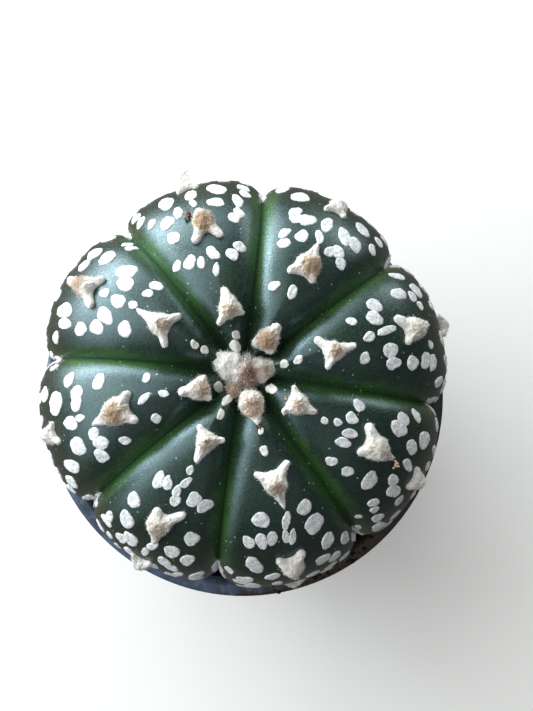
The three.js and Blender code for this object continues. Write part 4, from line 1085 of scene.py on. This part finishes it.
# Each thread: its rib and level, then its bends as sideways, down and out from the skin there
THREADS = [
    (2, 2.0, [(-0.6, 0.0, 2.2), (-0.9, 0.6, 2.9), (-1.2, 1.2, 3.2)]),
    (2, 2.0, [(-0.3, 0.1, 2.2), (-0.5, 0.8, 2.8), (-0.5, 1.4, 3.0)]),
    (2, 2.0, [(-0.9, 0.1, 2.1), (-1.4, 0.5, 2.8), (-1.9, 0.9, 3.1)]),
    (2, 30.6, [(0.9, 0.3, 0.5), (0.6, 0.1, 1.2), (0.3, 0.0, 1.8), (-0.1, 0.0, 2.1), (-0.8, 0.1, 2.3)]),
    (2, 30.6, [(-0.1, 0.0, 2.1), (-0.3, -0.1, 1.8), (-0.7, -0.2, 1.4)]),
    (2, 23.0, [(1.1, 0.0, 0.9), (1.4, 0.5, 1.2), (1.3, 0.9, 1.0)]),
]

DRY_RED = (158, 106, 82)
DRY_BROWN = (84, 50, 38)
DRY_TAN = (220, 192, 166)

chance = np.random.default_rng(SCRAP_SEED)
scraps, pale = [], []
for rib, across_rib, level, size, paleness in DRIED:
    origin, sideways, down_way, out = skin_frame(rib, across_rib, level)
    for crumple in range(DRIED_LUMPS):
        stretch = [chance.uniform(0.2, 0.5), chance.uniform(0.15, 0.3), chance.uniform(0.4, 0.8)]
        shape = tumbled(uneven_lump(3 * crumple, 0.4, 0.6) * (size * np.array(stretch)), chance)
        shift = 0.35 * size * chance.normal(size=3)
        middle = origin + out * 0.8 * size + sideways * shift[0] + down_way * shift[1] + out * shift[2] * 0.4
        scraps.append((shape + middle, lump_faces))
        pale.append(np.full(len(shape), paleness))
for rib, level, bends in THREADS:
    origin, *ways = skin_frame(rib, 0.0, level)
    bends = origin + np.array(bends) @ np.stack(ways)
    for start, end in zip(bends, bends[1:]):
        length = np.array([np.linalg.norm(end - start) * 1.15])
        width = np.array([THREAD_WIDTH])
        scraps.append(hair_solids(start[None], unit(end - start)[None], length, width, np.zeros((1, 3))))
        pale.append(np.zeros(HAIR_POINTS))

dry = Finish("dry skin")
mottle = dry.uneven(0.5, 0.5)
dry.coat(dry.spread(mottle, 0.35, 0.65), DRY_BROWN, DRY_RED)
dry.coat(dry.mark("pale"), DRY_TAN)
dry.shade(
    Roughness=dry.spread(mottle, 0.3, 0.7, 0.6, 0.85),
    Normal=dry.relief(dry.cloud(6, 4), 0.12),
)
scrap_piece = new_piece("dried_scraps", *gathered(scraps), dry, {"pale": np.concatenate(pale)})
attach(scrap_piece, "root")


# Studio: a plain pale floor under a pale sky. A low, wide window lights the plant from the left, with
# weaker light from the walls, the ceiling and the windows round it.
# The camera looks down from over the crown, a little from the front.
FLOOR_SIZE = 3.0
FLOOR_WHITE = (253, 249, 245)
FLOOR_WHITEST = (255, 252, 248)
UNSEEN_FLOOR = (122, 119, 112)
SKY = (0.93, 0.96, 1.0, 1)
SKY_STRENGTH = 0.155
WINDOW_LIGHT = (0.88, 0.96, 1.0)
WALL_LIGHT = (0.9, 0.97, 1.0)
GARDEN_LIGHT = (0.92, 1.0, 0.96)
CEILING_LIGHT = (0.95, 0.98, 1.0)
LAMP_LIGHT = (1.0, 0.99, 0.96)
CAMERA_RANGE = 151.3
CAMERA_TILT = math.radians(4.5)
LENS = 55
SENSOR = 36
PHOTO_WIDTH = 533
PHOTO_HEIGHT = 711
WAIST_IN_PHOTO = (243.2, 381.0)

white = Finish("pale floor")
seen = white.node("LightPath").outputs["Is Camera Ray"]
white.coat(white.uneven(90, 0.2), FLOOR_WHITE, FLOOR_WHITEST)
seen_white = white.mixed(seen, UNSEEN_FLOOR, white.colour)
white.shade(Base_Color=seen_white, Roughness=0.9, Specular_IOR_Level=0.1)
half = FLOOR_SIZE / MM / 2
corners = [(-half, -half, 0), (half, -half, 0), (half, half, 0), (-half, half, 0)]
floor = new_piece("floor", corners, [(0, 1, 2, 3)], white)

world = bpy.data.worlds.new("pale sky")
world.use_nodes = True
world.node_tree.nodes["Background"].inputs["Color"].default_value = SKY
world.node_tree.nodes["Background"].inputs["Strength"].default_value = SKY_STRENGTH
scene.world = world


def soft_light(name, bearing, elevation, width, height, power, colour=WALL_LIGHT, distance=0.9):
    """An area light aimed at the plant; bearing is counter-clockwise from +X, in degrees."""
    light = bpy.data.lights.new(name, "AREA")
    light.shape = "RECTANGLE"
    light.size = width
    light.size_y = height
    light.energy = power
    light.color = colour
    lamp = bpy.data.objects.new(name, light)
    bearing, elevation = math.radians(bearing), math.radians(elevation)
    way = Vector(on_circle(math.cos(elevation), bearing, math.sin(elevation)))
    lamp.location = way * distance + Vector((0, 0, WAIST_LEVEL * MM))
    lamp.rotation_euler = (-way).to_track_quat("-Z", "Y").to_euler()
    scene.collection.objects.link(lamp)


soft_light("window", 137, 10, 1.15, 0.34, 8.8, WINDOW_LIGHT)
soft_light("bright pane", 137, 10, 0.45, 0.34, 4.8, WINDOW_LIGHT, 0.88)
soft_light("left wall", 172, 30, 0.76, 0.34, 3.5)
soft_light("left window", 205, 20, 0.4, 0.5, 1.1)
soft_light("right wall", 100, 22, 0.6, 0.5, 2.4)
soft_light("right window", 54, 8, 0.5, 0.24, 2.0, GARDEN_LIGHT)
soft_light("ceiling by the window", 140, 54, 0.8, 0.4, 2.1, CEILING_LIGHT)
soft_light("overhead", 240, 84, 1.6, 1.6, 2.3, LAMP_LIGHT)

camera_data = bpy.data.cameras.new("camera")
camera_data.lens = LENS
camera_data.sensor_width = SENSOR
camera_data.clip_start = 0.01
camera = bpy.data.objects.new("camera", camera_data)
waist = Vector(BODY_MIDDLE)
back = Vector((0, -math.sin(CAMERA_TILT), math.cos(CAMERA_TILT)))
pixels = PHOTO_HEIGHT * LENS / SENSOR
above = Vector((0, math.cos(CAMERA_TILT), math.sin(CAMERA_TILT)))
to_right = (PHOTO_WIDTH / 2 - WAIST_IN_PHOTO[0]) / pixels
to_top = (WAIST_IN_PHOTO[1] - PHOTO_HEIGHT / 2) / pixels
forward = (-back + Vector((to_right, 0, 0)) + above * to_top).normalized()
right = forward.cross(Vector((0, 1, 0))).normalized()
turn = Matrix((right, right.cross(forward), -forward)).transposed()
camera.matrix_world = Matrix.Translation((waist + back * CAMERA_RANGE) * MM) @ turn.to_4x4()
scene.collection.objects.link(camera)
scene.camera = camera
scene.view_settings.view_transform = "Standard"
